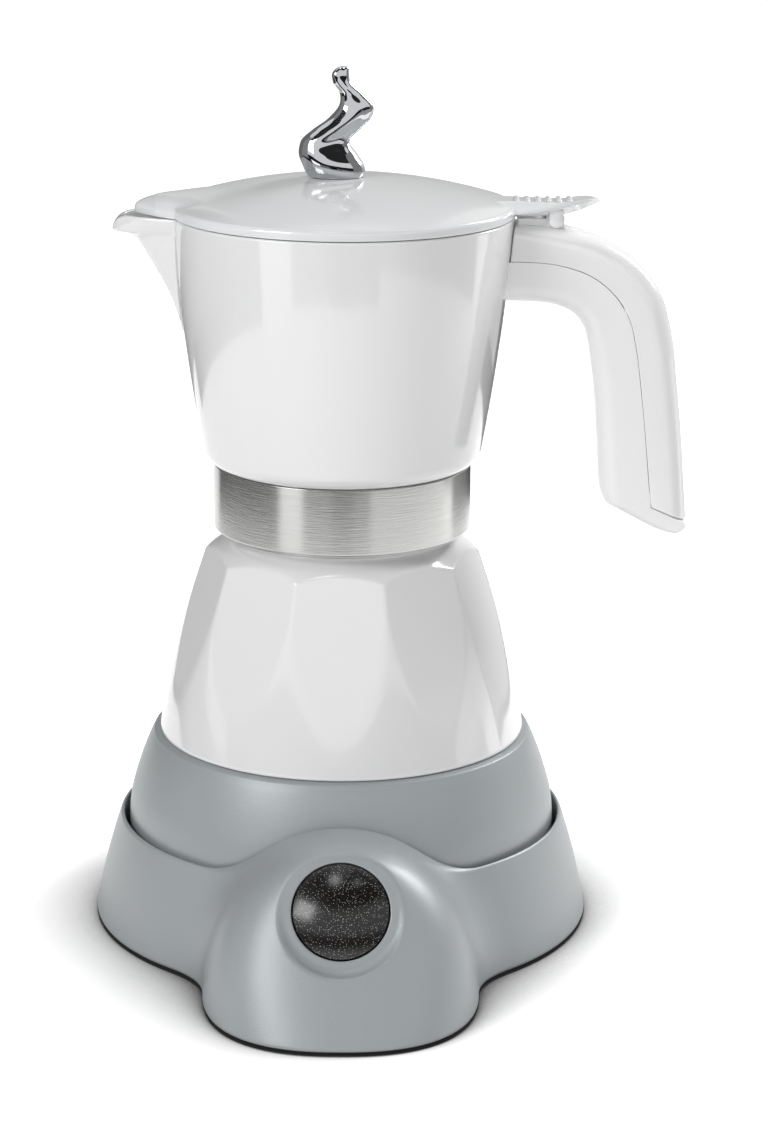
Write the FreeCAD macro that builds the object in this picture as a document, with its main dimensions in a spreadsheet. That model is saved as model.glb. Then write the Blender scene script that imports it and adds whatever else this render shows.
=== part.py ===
import FreeCAD, Part
import math
import os

import Sketcher

# Electric moka pot on its round power base. Millimetres and degrees, +Z up, spout towards -X,
# handle towards +X, the push button towards -Y. The origin is on the pot's axis at table height.

DOC = FreeCAD.newDocument("electric_moka_pot")
SHEET = DOC.addObject("Spreadsheet::Sheet", "Sizes")
V = FreeCAD.Vector
NODES = {}

# Driving sizes: each is written once here and lives in the sheet under the same name.

SIZES = {
    # Power base: ring wall, floor and well
    "base_radius": 73.0,
    "base_wall_height": 29.3,
    "base_draft": 0.174,
    "lip_inset": 7.1,
    "lip_width": 1.6,
    "lip_rise": 2.2,
    "shell_wall": 2.4,
    "foot_radius": 6.0,
    "foot_pocket": 1.0,
    "ground_gap": 1.0,
    "cover_thickness": 2.2,
    "cover_gap": 0.25,
    "floor_bottom": 12.6,
    "floor_thickness": 2.4,
    "well_gap": 1.5,
    # Nose that carries the push button
    "nose_half_width": 38.6,
    "nose_height": 47.6,
    "nose_length": 39.9,
    "nose_root": 3.0,
    "nose_blend": 8.0,
    "nose_shoulder": 14.0,
    "face_tilt": 31.5,
    # Push button
    "button_radius": 13.1,
    "button_gap": 0.4,
    "button_sink": 2.39,
    "button_up": 32.8,
    "button_dome": 3.2,
    "dish_land": 1.8,
    "dish_flare": 3.7,
    "dish_depth": 2.6,
    "sleeve_depth": 6.0,
    "sleeve_wall": 2.2,
    "carrier_thickness": 1.2,
    "rod_radius": 2.4,
    "switch_face": 14.0,
    "switch_depth": 8.0,
    "switch_width": 16.0,
    "switch_height": 10.0,
    # Round connector between base and pot
    "post_radius": 14.0,
    "post_height": 9.6,
    "pin_radius": 1.6,
    "inner_ring_radius": 6.3,
    "outer_ring_radius": 10.7,
    "ring_half_wall": 0.35,
    "slot_half_width": 1.0,
    "connector_gap": 0.8,
    # Cord inlet
    "inlet_bore_radius": 3.3,
    "gland_radius": 4.4,
    "gland_height": 7.9,
    # Heater skirt, whose top is measured from the floor of the well
    "pot_seat_gap": 0.3,
    "skirt_height": 42.0,
    "skirt_taper": 8.6,
    "skirt_wall": 2.4,
    "boss_inset": 17.8,
    # Boiler, measured up from the skirt's top and out from its own neck
    "boiler_seat": 2.0,
    "boiler_floor_thickness": 5.0,
    "boiler_wall": 3.0,
    "boiler_step": 0.6,
    "boiler_waist": 5.6,
    "boiler_mid_rise": 25.3,
    "boiler_shoulder_out": 7.9,
    "boiler_shoulder_rise": 53.0,
    "facet_count": 10,
    "facet_low_cut": 2.2,
    "facet_low_rise": 40.0,
    "facet_high_out": 5.15,
    "facet_high_rise": 53.5,
    "cone_out": 4.6,
    "cone_rise": 55.3,
    "cone_slope": 0.72,
    "neck_radius": 32.7,
    "neck_rise": 71.0,
    "neck_wall": 2.9,
    "heat_plate_inset": 5.0,
    "heat_plate_thickness": 5.0,
    "element_inset": 7.0,
    "element_radius": 3.3,
    "valve_rise": 41.0,
    # Funnel, gasket and filter plate
    "basket_gap": 0.4,
    "basket_wall": 0.8,
    "basket_depth": 21.0,
    "tube_radius": 4.6,
    "tube_clearance": 4.0,
    "gasket_thickness": 3.0,
    "gasket_reach": 8.2,
    "filter_thickness": 0.8,
    "filter_gap": 0.3,
    # Collar and band, measured from the boiler's neck
    "thread_gap": 0.5,
    "collar_wall": 3.3,
    "collar_drop": 9.5,
    "collar_chamfer": 1.5,
    "collar_web_rise": 5.5,
    "collar_web": 4.5,
    "band_step": 0.7,
    "band_drop": 0.6,
    "band_curl": 1.5,
    "band_gap": 0.3,
    # Jug, measured up from its foot and out from the band
    "jug_floor_gap": 0.1,
    "jug_foot_drop": 0.6,
    "jug_low_out": 3.2,
    "jug_low_rise": 4.7,
    "jug_mid_out": 8.6,
    "jug_mid_rise": 40.5,
    "jug_rim_out": 11.6,
    "jug_height": 71.3,
    "jug_wall": 2.2,
    "jug_floor": 2.4,
    "column_flange": 11.0,
    "column_foot_radius": 7.5,
    "column_top_radius": 4.7,
    "column_height": 36.0,
    "column_bore": 3.0,
    # Spout, measured from the jug's rim
    "spout_height": 34.3,
    "spout_reach": 16.8,
    "spout_half_width": 14.0,
    "spout_wall": 1.9,
    "beak_height": 4.6,
    "beak_round": 5.0,
    # Handle
    "handle_width": 18.0,
    "handle_round": 5.5,
    "handle_seam": 0.3,
    # Lid, lever, hinge and knob, measured from the jug's rim
    "lid_gap": 0.3,
    "lid_thickness": 2.2,
    "lid_rise": 10.3,
    "lid_edge": 2.9,
    "lid_lip_depth": 3.2,
    "lid_lip_gap": 0.5,
    "tongue_out": 10.1,
    "lever_rise": 3.9,
    "lever_length": 12.6,
    "rib_count": 6,
    "rib_pitch": 3.0,
    "rib_height": 0.8,
    "hinge_offset": 11.2,
    "hinge_drop": 0.7,
    "hinge_pin_radius": 1.0,
    "hinge_barrel_radius": 2.6,
    "hinge_barrel_width": 9.0,
    "hinge_lug_radius": 1.95,
    "hinge_lug_width": 3.0,
    "hinge_lug_cover": 0.9,
    "hinge_gap": 0.35,
    "knob_height": 31.0,
    "knob_depth_share": 0.7,
    # Fasteners
    "screw_radius": 1.5,
    "screw_head_radius": 2.9,
    "screw_head_height": 1.8,
    "fit_gap": 0.05,
}

# Sizes that follow from the ones above, each a formula in the sheet.

FOLLOWING = {
    "base_lip_radius": "base_radius - lip_inset",
    "well_radius": "base_lip_radius - lip_width",
    "floor_top": "floor_bottom + floor_thickness",
    "cover_top": "ground_gap + cover_thickness",
    "nose_reach": "base_radius + nose_length",
    "button_out": "nose_reach - tan(face_tilt) * button_up - button_sink / cos(face_tilt)",
    "skirt_radius": "well_radius - well_gap",
    "skirt_boss_ring": "skirt_radius - boss_inset",
    "heat_plate_radius": "skirt_boss_ring - heat_plate_inset",
    "element_ring": "heat_plate_radius - element_inset",
    "skirt_top_radius": "skirt_radius - skirt_taper",
    "skirt_top": "floor_top + skirt_height",
    "boiler_bottom": "skirt_top - boiler_seat",
    "boiler_floor": "boiler_bottom + boiler_floor_thickness",
    "boiler_foot_radius": "skirt_top_radius - boiler_step",
    "boiler_mid_radius": "boiler_foot_radius - boiler_waist",
    "boiler_mid_height": "skirt_top + boiler_mid_rise",
    "boiler_shoulder_radius": "neck_radius + boiler_shoulder_out",
    "boiler_shoulder_height": "skirt_top + boiler_shoulder_rise",
    "facet_low_radius": "(boiler_mid_radius + boiler_shoulder_radius) / 2 - facet_low_cut",
    "facet_low_height": "skirt_top + facet_low_rise",
    "facet_high_radius": "neck_radius + facet_high_out",
    "facet_high_height": "skirt_top + facet_high_rise",
    "cone_radius": "neck_radius + cone_out",
    "cone_height": "skirt_top + cone_rise",
    "neck_top": "skirt_top + neck_rise",
    "neck_bore": "neck_radius - neck_wall",
    "valve_height": "skirt_top + valve_rise",
    "gasket_bore_radius": "neck_radius - gasket_reach",
    "filter_radius": "neck_bore - filter_gap",
    "collar_bore": "neck_radius + thread_gap",
    "collar_radius": "collar_bore + collar_wall",
    "collar_bottom": "neck_top - collar_drop",
    "collar_web_bottom": "neck_top + collar_web_rise",
    "collar_top": "collar_web_bottom + collar_web",
    "jug_floor_bottom": "collar_top + jug_floor_gap",
    "jug_floor_top": "jug_floor_bottom + jug_floor",
    "jug_bottom": "jug_floor_bottom - jug_foot_drop",
    "band_radius": "collar_radius + band_step",
    "band_bottom": "collar_bottom - band_drop",
    "band_top": "jug_bottom - band_gap",
    "jug_low_radius": "band_radius + jug_low_out",
    "jug_low_height": "jug_bottom + jug_low_rise",
    "jug_mid_radius": "band_radius + jug_mid_out",
    "jug_mid_height": "jug_bottom + jug_mid_rise",
    "jug_rim_radius": "band_radius + jug_rim_out",
    "jug_rim_height": "jug_bottom + jug_height",
    "lid_bottom": "jug_rim_height + lid_gap",
    "lid_crown": "lid_bottom + lid_rise",
    "lever_top": "lid_bottom + lever_rise",
    "hinge_out": "jug_rim_radius + hinge_offset",
    "hinge_up": "jug_rim_height - hinge_drop",
}


class Size:
    """A length or angle that carries both its number and the sheet expression behind it."""

    def __init__(self, number, words):
        self.number = float(number)
        self.words = words

    def __float__(self):
        return self.number

    def __add__(self, other):
        other = sized(other)
        return Size(self.number + other.number, "(%s + %s)" % (self.words, other.words))

    def __sub__(self, other):
        other = sized(other)
        return Size(self.number - other.number, "(%s - %s)" % (self.words, other.words))

    def __mul__(self, other):
        other = sized(other)
        return Size(self.number * other.number, "(%s * %s)" % (self.words, other.words))

    def __truediv__(self, other):
        other = sized(other)
        return Size(self.number / other.number, "(%s / %s)" % (self.words, other.words))

    def __radd__(self, other):
        return sized(other) + self

    def __rsub__(self, other):
        return sized(other) - self

    def __rmul__(self, other):
        return sized(other) * self

    def __neg__(self):
        return sized(0) - self


def sized(value):
    """Any plain number as a Size."""
    return value if isinstance(value, Size) else Size(value, "(%r)" % value)


def sine(angle):
    return Size(math.sin(math.radians(float(angle))), "sin(%s)" % angle.words)


def cosine(angle):
    return Size(math.cos(math.radians(float(angle))), "cos(%s)" % angle.words)


def root(value):
    return Size(math.sqrt(float(value)), "sqrt(%s)" % value.words)


class Dimensions:
    """Writes the sizes and their formulas into the sheet and offers each as an attribute."""

    def __init__(self, sizes, formulas):
        cells = dict(sizes)
        cells.update((name, "=" + formula) for name, formula in formulas.items())
        for row, (name, content) in enumerate(cells.items(), start=1):
            SHEET.setAlias("B%d" % row, name)
        for row, (name, content) in enumerate(cells.items(), start=1):
            SHEET.set("A%d" % row, name)
            SHEET.set("B%d" % row, str(content))
        DOC.recompute()
        for name in cells:
            setattr(self, name, Size(float(SHEET.get(name)), "Sizes." + name))


d = Dimensions(SIZES, FOLLOWING)

# Tools that draw and bind


def bind(thing, path, value):
    """Ties one property to the sheet, or sets it where it is a plain number."""
    thing.setExpression(path, sized(value).words)


def place(thing, at, axis=None, angle=None):
    """Puts a thing at a bound point, turned by a bound angle about an axis."""
    if axis is not None:
        thing.Placement = FreeCAD.Placement(V(0, 0, 0), FreeCAD.Rotation(axis, 1.0))
        bind(thing, ".Placement.Rotation.Angle", angle)
    for letter, value in zip("xyz", at):
        bind(thing, ".Placement.Base." + letter, value)
    return thing


TURNS = {"Z": None, "Y": (V(1, 0, 0), -90), "X": (V(0, 1, 0), 90)}


def cylinder(name, radius, height, at=(0, 0, 0), along="Z"):
    """A round bar that starts at a point and runs along a row axis."""
    bar = DOC.addObject("Part::Cylinder", name)
    bind(bar, "Radius", radius)
    bind(bar, "Height", height)
    turn = TURNS[along]
    return place(bar, at, *turn) if turn else place(bar, at)


def box(name, lengths, at):
    """A block from its lowest corner."""
    block = DOC.addObject("Part::Box", name)
    for path, value in zip(("Length", "Width", "Height"), lengths):
        bind(block, path, value)
    return place(block, at)


def cut(name, base, *tools):
    """The base with one or more tools taken away."""
    whole = DOC.addObject("Part::Cut", name)
    whole.Base = base
    whole.Tool = tools[0] if len(tools) == 1 else fuse(name + "_tools", *tools)
    whole.Refine = False
    return whole


def fuse(name, *parts):
    """Several solids made one."""
    whole = DOC.addObject("Part::MultiFuse", name)
    whole.Shapes = list(parts)
    whole.Refine = False
    return whole


def group(name, *parts):
    """Several separate solids kept in one node."""
    whole = DOC.addObject("Part::Compound", name)
    whole.Links = list(parts)
    return whole


def common(name, first, second):
    both = DOC.addObject("Part::Common", name)
    both.Base = first
    both.Tool = second
    return both


def shape(name, solid):
    """A form worked out with the shape functions, such as a loft."""
    feature = DOC.addObject("Part::Feature", name)
    feature.Shape = solid
    return feature


def around(name, thing, count, start=0.0):
    """Copies of a thing spread evenly around the pot's axis, as separate solids."""
    copies = []
    for step in range(count):
        copy = DOC.addObject("Part::Compound", "%s_copy%d" % (name, step + 1))
        copy.Links = [thing]
        angle = start + 360.0 * step / count
        copy.Placement = FreeCAD.Placement(V(0, 0, 0), FreeCAD.Rotation(V(0, 0, 1), angle))
        copies.append(copy)
    return group(name, *copies)


def draw(sketch, outline):
    """A closed outline. A point is a straight side's end, and a pair of points is an arc's
    middle and end. Every point is tied to the sheet, and an arc passes through its middle."""
    corners = [outline[0]] + [step if not isinstance(step[0], tuple) else step[1]
                              for step in outline[1:]]
    middles = [step[0] if isinstance(step[0], tuple) else None for step in outline[1:]] + [None]
    ends = []
    middle_ties = []
    for number, corner in enumerate(corners):
        after = corners[(number + 1) % len(corners)]
        a = V(float(corner[0]), float(corner[1]), 0)
        b = V(float(after[0]), float(after[1]), 0)
        middle = middles[number]
        if middle is None:
            side = sketch.addGeometry(Part.LineSegment(a, b), False)
        else:
            m = V(float(middle[0]), float(middle[1]), 0)
            side = sketch.addGeometry(Part.Arc(a, m, b), False)
            middle_ties.append((side, middle, m))
        first = 1 if sketch.getPoint(side, 1).distanceToPoint(a) < 1e-6 else 2
        ends.append((side, first))
    ties = []
    bound = []
    for number, corner in enumerate(corners):
        side, first = ends[number]
        before, before_first = ends[number - 1]
        ties.append(Sketcher.Constraint("Coincident", before, 3 - before_first, side, first))
        tie_point(ties, bound, side, first, corner)
    for side, middle, m in middle_ties:
        dot = sketch.addGeometry(Part.Point(m), True)
        ties.append(Sketcher.Constraint("PointOnObject", dot, 1, side))
        tie_point(ties, bound, dot, 1, middle)
    sketch.addConstraint(ties)
    for place_in_list, words in bound:
        sketch.setExpression("Constraints[%d]" % place_in_list, words)
    return sketch


def tie_point(ties, bound, geometry, position, point):
    """Dimensions that hold one sketch point, or the axes where a coordinate is nought."""
    for kind, axis, value in (("DistanceX", -2, point[0]), ("DistanceY", -1, point[1])):
        if float(value) == 0.0:
            ties.append(Sketcher.Constraint("PointOnObject", geometry, position, axis))
        else:
            bound.append((len(ties), sized(value).words))
            ties.append(Sketcher.Constraint(kind, -1, 1, geometry, position, float(value)))


def sketch_in(body, name, plane, offset=None):
    sketch = body.newObject("Sketcher::SketchObject", name)
    support = [f for f in body.Origin.OriginFeatures if f.Role == plane][0]
    sketch.AttachmentSupport = [(support, "")]
    sketch.MapMode = "FlatFace"
    if offset is not None:
        bind(sketch, ".AttachmentOffset.Base.z", offset)
    return sketch


def turned(name, *outline):
    """A body turned about Z from an outline of (radius, height) points."""
    body = DOC.addObject("PartDesign::Body", name)
    sketch = draw(sketch_in(body, name + "_outline", "XZ_Plane"), outline)
    turn = body.newObject("PartDesign::Revolution", name + "_turned")
    turn.Profile = sketch
    turn.ReferenceAxis = (sketch, ["V_Axis"])
    turn.Angle = 360.0
    return body


def padded(name, plane, length, offset, *outline):
    """A body drawn on one origin plane, lifted by an offset and padded by a length. On the
    XZ plane the pad is symmetric about the plane."""
    body = DOC.addObject("PartDesign::Body", name)
    sketch = draw(sketch_in(body, name + "_outline", plane, offset), outline)
    pad = body.newObject("PartDesign::Pad", name + "_pad")
    pad.Profile = sketch
    bind(pad, "Length", length)
    if plane == "XZ_Plane":
        pad.SideType = "Symmetric"
    return body


def tube(name, outer, inner, low, high):
    return turned(name, (inner, low), (outer, low), (outer, high), (inner, high))


def disc(name, radius, low, high):
    return turned(name, (0, low), (radius, low), (radius, high), (0, high))


def node(name, thing):
    """Names a finished sub-part."""
    thing.Label = name
    NODES[name] = thing
    return thing


def cap_point(radius, low, high, share=0.5):
    """A point part way out on the round cap that rises from a rim to the axis."""
    rise = high - low
    ball = (radius * radius + rise * rise) / (2 * rise)
    out = radius * share
    return (out, high - ball + root(ball * ball - out * out))


# Heights that several pieces share

SKIRT_BOTTOM = d.floor_top + d.pot_seat_gap
PLATE_TOP = SKIRT_BOTTOM + d.skirt_wall


# Power base


def ring_radius(height):
    """Outer radius of the base ring: a parabola from the foot to the lip."""
    rise = height - float(d.ground_gap)
    full = float(d.base_wall_height - d.ground_gap)
    draft = float(d.base_draft)
    bend = (float(d.base_radius - d.base_lip_radius) - draft * full) / full ** 2
    return float(d.base_radius) - draft * rise - bend * rise ** 2


def nose_section(height, inset):
    """Half-width, front and curve strength of the nose at a height. The sides are half an
    ellipse seen from the front, and the front leans back to a rounded shoulder."""
    tall = float(d.nose_height) - inset
    half = (float(d.nose_half_width) - inset) * math.sqrt(1 - (height / tall) ** 2)
    lean = math.tan(math.radians(float(d.face_tilt)))
    foot = -float(d.nose_reach) + inset / math.cos(math.radians(float(d.face_tilt)))
    front = foot + lean * height
    turn = math.radians(90 - float(d.face_tilt))
    shoulder = float(d.nose_shoulder)
    drop = tall - height
    if drop < shoulder * (1 - math.cos(turn)):
        start = foot + lean * tall + shoulder * math.tan(turn / 2)
        front = start - math.sqrt(shoulder ** 2 - (shoulder - drop) ** 2)
    side_end = float(d.nose_root - d.base_radius) + max(0.0, height - 40.0) * -0.3
    return half, front, side_end, 2.4 + 0.012 * height


def nose_front_curve(height, inset):
    """The front of the nose at a height, from its right side round to its left: part of a
    superellipse."""
    half, front, side_end, power = nose_section(height, inset)
    points = []
    for step in range(13):
        angle = math.pi * step / 12
        across = math.copysign(abs(math.cos(angle)) ** (2 / power), math.cos(angle))
        out = math.sin(angle) ** (2 / power)
        points.append(V(half * across, side_end - (side_end - front) * out, height))
    curve = Part.BSplineCurve()
    curve.interpolate(points)
    return curve.toShape(), points[0], points[-1]


def nose_wire(height, inset, back):
    """The nose alone at a height, closed by a straight back."""
    curve, right, left = nose_front_curve(height, inset)
    left_back = V(left.x, back, height)
    right_back = V(right.x, back, height)
    return Part.Wire([curve, Part.makeLine(left, left_back), Part.makeLine(left_back, right_back),
                      Part.makeLine(right_back, right)])


def plan_wire(height, radius, inset):
    """Ring and nose at a height, joined by hollow blends that touch both."""
    curve, right, left = nose_front_curve(height, inset)
    blend = float(d.nose_blend) + inset
    centre_x = right.x + blend
    centre_y = -math.sqrt((radius + blend) ** 2 - centre_x ** 2)
    share = radius / (radius + blend)
    on_ring = V(centre_x * share, centre_y * share, height)
    on_side = V(right.x, centre_y, height)
    bulge = V(on_ring.x + on_side.x, on_ring.y + on_side.y, 0) / 2 - V(centre_x, centre_y, 0)
    bulge.Length = blend
    middle = V(centre_x, centre_y, height) + bulge

    def mirrored(point):
        return V(-point.x, point.y, point.z)

    return Part.Wire([
        curve,
        Part.makeLine(left, mirrored(on_side)),
        Part.Arc(mirrored(on_side), mirrored(middle), mirrored(on_ring)).toShape(),
        Part.Arc(mirrored(on_ring), V(0, radius, height), on_ring).toShape(),
        Part.Arc(on_ring, middle, on_side).toShape(),
        Part.makeLine(on_side, right)])


def base_block():
    """The whole outside of the base, solid."""
    ground = float(d.ground_gap)
    wall_top = float(d.base_wall_height)
    lip_top = wall_top + float(d.lip_rise)
    lower = [ground + (wall_top - ground) * share for share in (0, 0.5, 1)]
    wall = Part.makeLoft([plan_wire(z, ring_radius(z), 0) for z in lower], True, False)
    rounding = float(d.base_lip_radius + d.lip_rise - d.well_radius - 0.9)
    lip = [plan_wire(wall_top + float(d.lip_rise) * share,
                     float(d.base_lip_radius) - rounding * (1 - math.sqrt(1 - share ** 2)) * 0.4, 0)
           for share in (0, 0.6, 1)]
    upper = [lip_top + (float(d.nose_height) - lip_top) * share
             for share in (0, 0.4, 0.75, 0.94, 0.995)]
    top = Part.makeLoft([nose_wire(z, 0, -40) for z in upper], True, False)
    return wall.fuse(Part.makeLoft(lip, True, False)).fuse(top).removeSplitter()


def base_cavity():
    """The room inside the base, open below."""
    inset = float(d.shell_wall)
    ground = float(d.ground_gap) - 1
    under = float(d.floor_bottom)
    lower = [ground, (ground + under) / 2, under]
    room = Part.makeLoft([plan_wire(z, ring_radius(z) - inset, inset) for z in lower], True, False)
    top = float(d.nose_height) - inset
    upper = [under + (top - under) * share for share in (0, 0.4, 0.75, 0.985)]
    nose = Part.makeLoft([nose_wire(z, inset, -40) for z in upper], True, False)
    keep = Part.makeCylinder(float(d.well_radius) + inset, 60, V(0, 0, under - 5))
    return room.fuse(nose.cut(keep))


def on_button_axis(thing):
    """Places a thing that is drawn along Z so that Z is the button's outward axis."""
    return place(thing, (0, -d.button_out, d.button_up), V(1, 0, 0), 90 - d.face_tilt)


HOLE_RADIUS = d.button_radius + d.button_gap
LAND_RADIUS = HOLE_RADIUS + d.dish_land

well = cylinder("well", d.well_radius, 60, (0, 0, d.floor_top))
sleeve = on_button_axis(disc("button_sleeve", LAND_RADIUS + d.sleeve_wall, -d.sleeve_depth, 2))
dish = on_button_axis(turned(
    "button_dish", (0, -10), (HOLE_RADIUS, -10), (HOLE_RADIUS, 0), (LAND_RADIUS, 0),
    ((LAND_RADIUS + d.dish_flare * 0.65, d.dish_depth * 0.27),
     (LAND_RADIUS + d.dish_flare, d.dish_depth)),
    (LAND_RADIUS + d.dish_flare + 2, 12), (0, 12)))
socket_hole = cylinder("socket_hole", d.post_radius + 0.1, 10, (0, 0, d.floor_bottom - 2))
gland_hole = cylinder("gland_hole", d.gland_radius + d.fit_gap, 20,
                      (0, d.base_radius - 14, d.gland_height), "Y")
gland_seat = cylinder("gland_seat", d.gland_radius + 1.2, 10,
                      (0, d.base_radius - 1, d.gland_height), "Y")
screw_spots = [(34, 40), (-34, 40), (36, -38), (-36, -38)]
base_bosses = []
base_boss_holes = []
for number, (x, y) in enumerate(screw_spots):
    base_bosses.append(cylinder("base_boss%d" % number, 3.6, d.floor_bottom - d.cover_top + 0.5,
                                (x, y, d.cover_top + d.fit_gap)))
    base_boss_holes.append(cylinder("base_boss_hole%d" % number, d.screw_radius - 0.1, 8.6,
                                    (x, y, d.cover_top)))
room = cut("base_room", shape("base_cavity", base_cavity()), sleeve, *base_bosses)
node("base_shell", cut("base_shell", cut("shell_blank", shape("base_block", base_block()), room),
                       dish, well, socket_hole, gland_hole, gland_seat, *base_boss_holes))

cover_inset = float(d.shell_wall + d.cover_gap)
cover_plan = plan_wire(float(d.cover_top), ring_radius(float(d.cover_top)) - cover_inset, cover_inset)
cover_blank = shape("cover_blank",
                    Part.Face(cover_plan).extrude(V(0, 0, -float(d.cover_thickness))))
foot_front = 18.9 - float(d.nose_reach)
foot_spots = [(50, 34), (-50, 34), (22, foot_front), (-22, foot_front)]
foot_pockets = [cylinder("foot_pocket%d" % number, d.foot_radius + 0.1, d.foot_pocket,
                         (x, y, d.ground_gap)) for number, (x, y) in enumerate(foot_spots)]
cover_holes = []
for number, (x, y) in enumerate(screw_spots):
    cover_holes.append(cylinder("cover_hole%d" % number, d.screw_radius + 0.2, 8, (x, y, 0)))
    cover_holes.append(cylinder("cover_sink%d" % number, d.screw_head_radius + 0.2,
                                d.screw_head_height / 2 + 0.2, (x, y, d.ground_gap)))
node("base_bottom_cover", cut("base_bottom_cover", cover_blank, *foot_pockets, *cover_holes))
node("rubber_feet", group("rubber_feet", *[
    cylinder("foot%d" % number, d.foot_radius, d.ground_gap + d.foot_pocket - 0.05, (x, y, 0))
    for number, (x, y) in enumerate(foot_spots)]))
base_screws = []
for number, (x, y) in enumerate(screw_spots):
    base_screws.append(place(turned(
        "base_screw%d" % number, (0, 0), (d.screw_head_radius, 0),
        (d.screw_head_radius, d.screw_head_height / 2), (d.screw_radius - 0.15,
                                                         d.screw_head_height / 2),
        (d.screw_radius - 0.15, 9.5), (0, 10)), (x, y, d.ground_gap + 0.15)))
node("base_screws", group("base_screws", *base_screws))

# Round connector, base side

SOCKET_BOTTOM = d.cover_top + d.connector_gap
POST_TOP = d.floor_top + d.post_height
socket_blank = turned(
    "socket_blank", (0, SOCKET_BOTTOM), (17, SOCKET_BOTTOM), (17, d.floor_bottom - 2.4),
    (20, d.floor_bottom - 2.4), (20, d.floor_bottom - 0.05), (d.post_radius, d.floor_bottom - 0.05),
    (d.post_radius, POST_TOP - 1.2), (d.post_radius - 1.2, POST_TOP), (0, POST_TOP))
slots = [tube("socket_slot%d" % number, radius + d.slot_half_width, radius - d.slot_half_width,
              SOCKET_BOTTOM + 2.4, POST_TOP + 1)
         for number, radius in enumerate((d.inner_ring_radius, d.outer_ring_radius))]
pin_hole = cylinder("socket_pin_hole", d.pin_radius + 0.8, 30, (0, 0, SOCKET_BOTTOM + 2.4))
node("base_socket", cut("base_socket", socket_blank, pin_hole, *slots))
contacts = []
for number, radius in enumerate((d.inner_ring_radius, d.outer_ring_radius)):
    contacts.append(tube("contact_ring%d" % number, radius + d.slot_half_width - 0.05,
                         radius + d.slot_half_width - 0.4, SOCKET_BOTTOM + 2.45, POST_TOP - 5))
contacts.append(tube("contact_clip", d.pin_radius + 0.75, d.pin_radius + 0.3,
                     SOCKET_BOTTOM + 2.45, POST_TOP - 5))
node("socket_contacts", group("socket_contacts", *contacts))

gland = place(turned(
    "gland_blank", (d.inlet_bore_radius, 0), (d.gland_radius, 0),
    (d.gland_radius, d.shell_wall + 5), (d.gland_radius + 1, d.shell_wall + 5),
    (d.gland_radius + 1, d.shell_wall + 6), (d.gland_radius + 0.4, d.shell_wall + 6.6),
    (d.inlet_bore_radius, d.shell_wall + 6.6)),
    (0, d.base_radius - d.shell_wall - 5.95, d.gland_height), V(1, 0, 0), -90)
node("cord_gland", gland)

# Push button and its switch, drawn along the button's axis

CARRIER_TOP = -d.sleeve_depth - 0.3
CARRIER_LOW = CARRIER_TOP - d.carrier_thickness
DOME_INSIDE = d.button_radius - 1.8
node("button_dome", on_button_axis(turned(
    "button_dome", (0, d.button_dome - 1.8),
    (cap_point(DOME_INSIDE, sized(-1.4), d.button_dome - 1.8), (DOME_INSIDE, -1.4)),
    (DOME_INSIDE, CARRIER_TOP + 0.05), (d.button_radius, CARRIER_TOP + 0.05),
    (d.button_radius, 0),
    (cap_point(d.button_radius, sized(0), d.button_dome), (0, d.button_dome)))))
carrier_blank = turned(
    "carrier_blank", (0, -d.switch_face - 3), (d.rod_radius, -d.switch_face - 3),
    (d.rod_radius, CARRIER_LOW), (HOLE_RADIUS + 1, CARRIER_LOW), (HOLE_RADIUS + 1, CARRIER_TOP),
    (d.button_radius - 1.9, CARRIER_TOP), (d.button_radius - 1.9, CARRIER_TOP + 2.5),
    (d.button_radius - 3, CARRIER_TOP + 2.5), (d.button_radius - 3, CARRIER_TOP), (0, CARRIER_TOP))
carrier_windows = [box("carrier_window%d" % number, (3, 6, 12), (x, -3, -d.sleeve_depth - 6))
                   for number, x in enumerate((4.5, -7.5))]
node("button_carrier", on_button_axis(cut("button_carrier", carrier_blank, *carrier_windows)))
switch_blank = box("switch_blank", (d.switch_width, d.switch_height, d.switch_depth),
                   (-d.switch_width / 2, -d.switch_height / 2, -d.switch_face - d.switch_depth))
switch_bore = cylinder("switch_bore", d.rod_radius + 0.3, 7, (0, 0, -d.switch_face - 6.5))
node("switch_body", on_button_axis(cut("switch_body", switch_blank, switch_bore)))
lamps = [cylinder("lamp%d" % number, 1.4, 3.2, (x, 0, -d.switch_face + 0.05))
         for number, x in enumerate((6, -6))]
node("indicator_lamps", on_button_axis(group("indicator_lamps", *lamps)))
bracket_parts = [box("bracket_foot", (24, 14, 2), (-12, 28.9 - d.nose_reach, d.cover_top + 0.05))]
for number, x in enumerate((-d.switch_width / 2 - 2.1, d.switch_width / 2 + 0.1)):
    bracket_parts.append(box("bracket_cheek%d" % number, (2, 10, 22),
                             (x, 32.9 - d.nose_reach, d.cover_top + 0.05)))
node("switch_bracket", cut("switch_bracket", fuse("bracket_whole", *bracket_parts),
                           cylinder("bracket_trim", d.well_radius + d.shell_wall + 0.3, 40,
                                    (0, 0, d.floor_bottom - 0.3))))

# Heater skirt and what it holds


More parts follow.
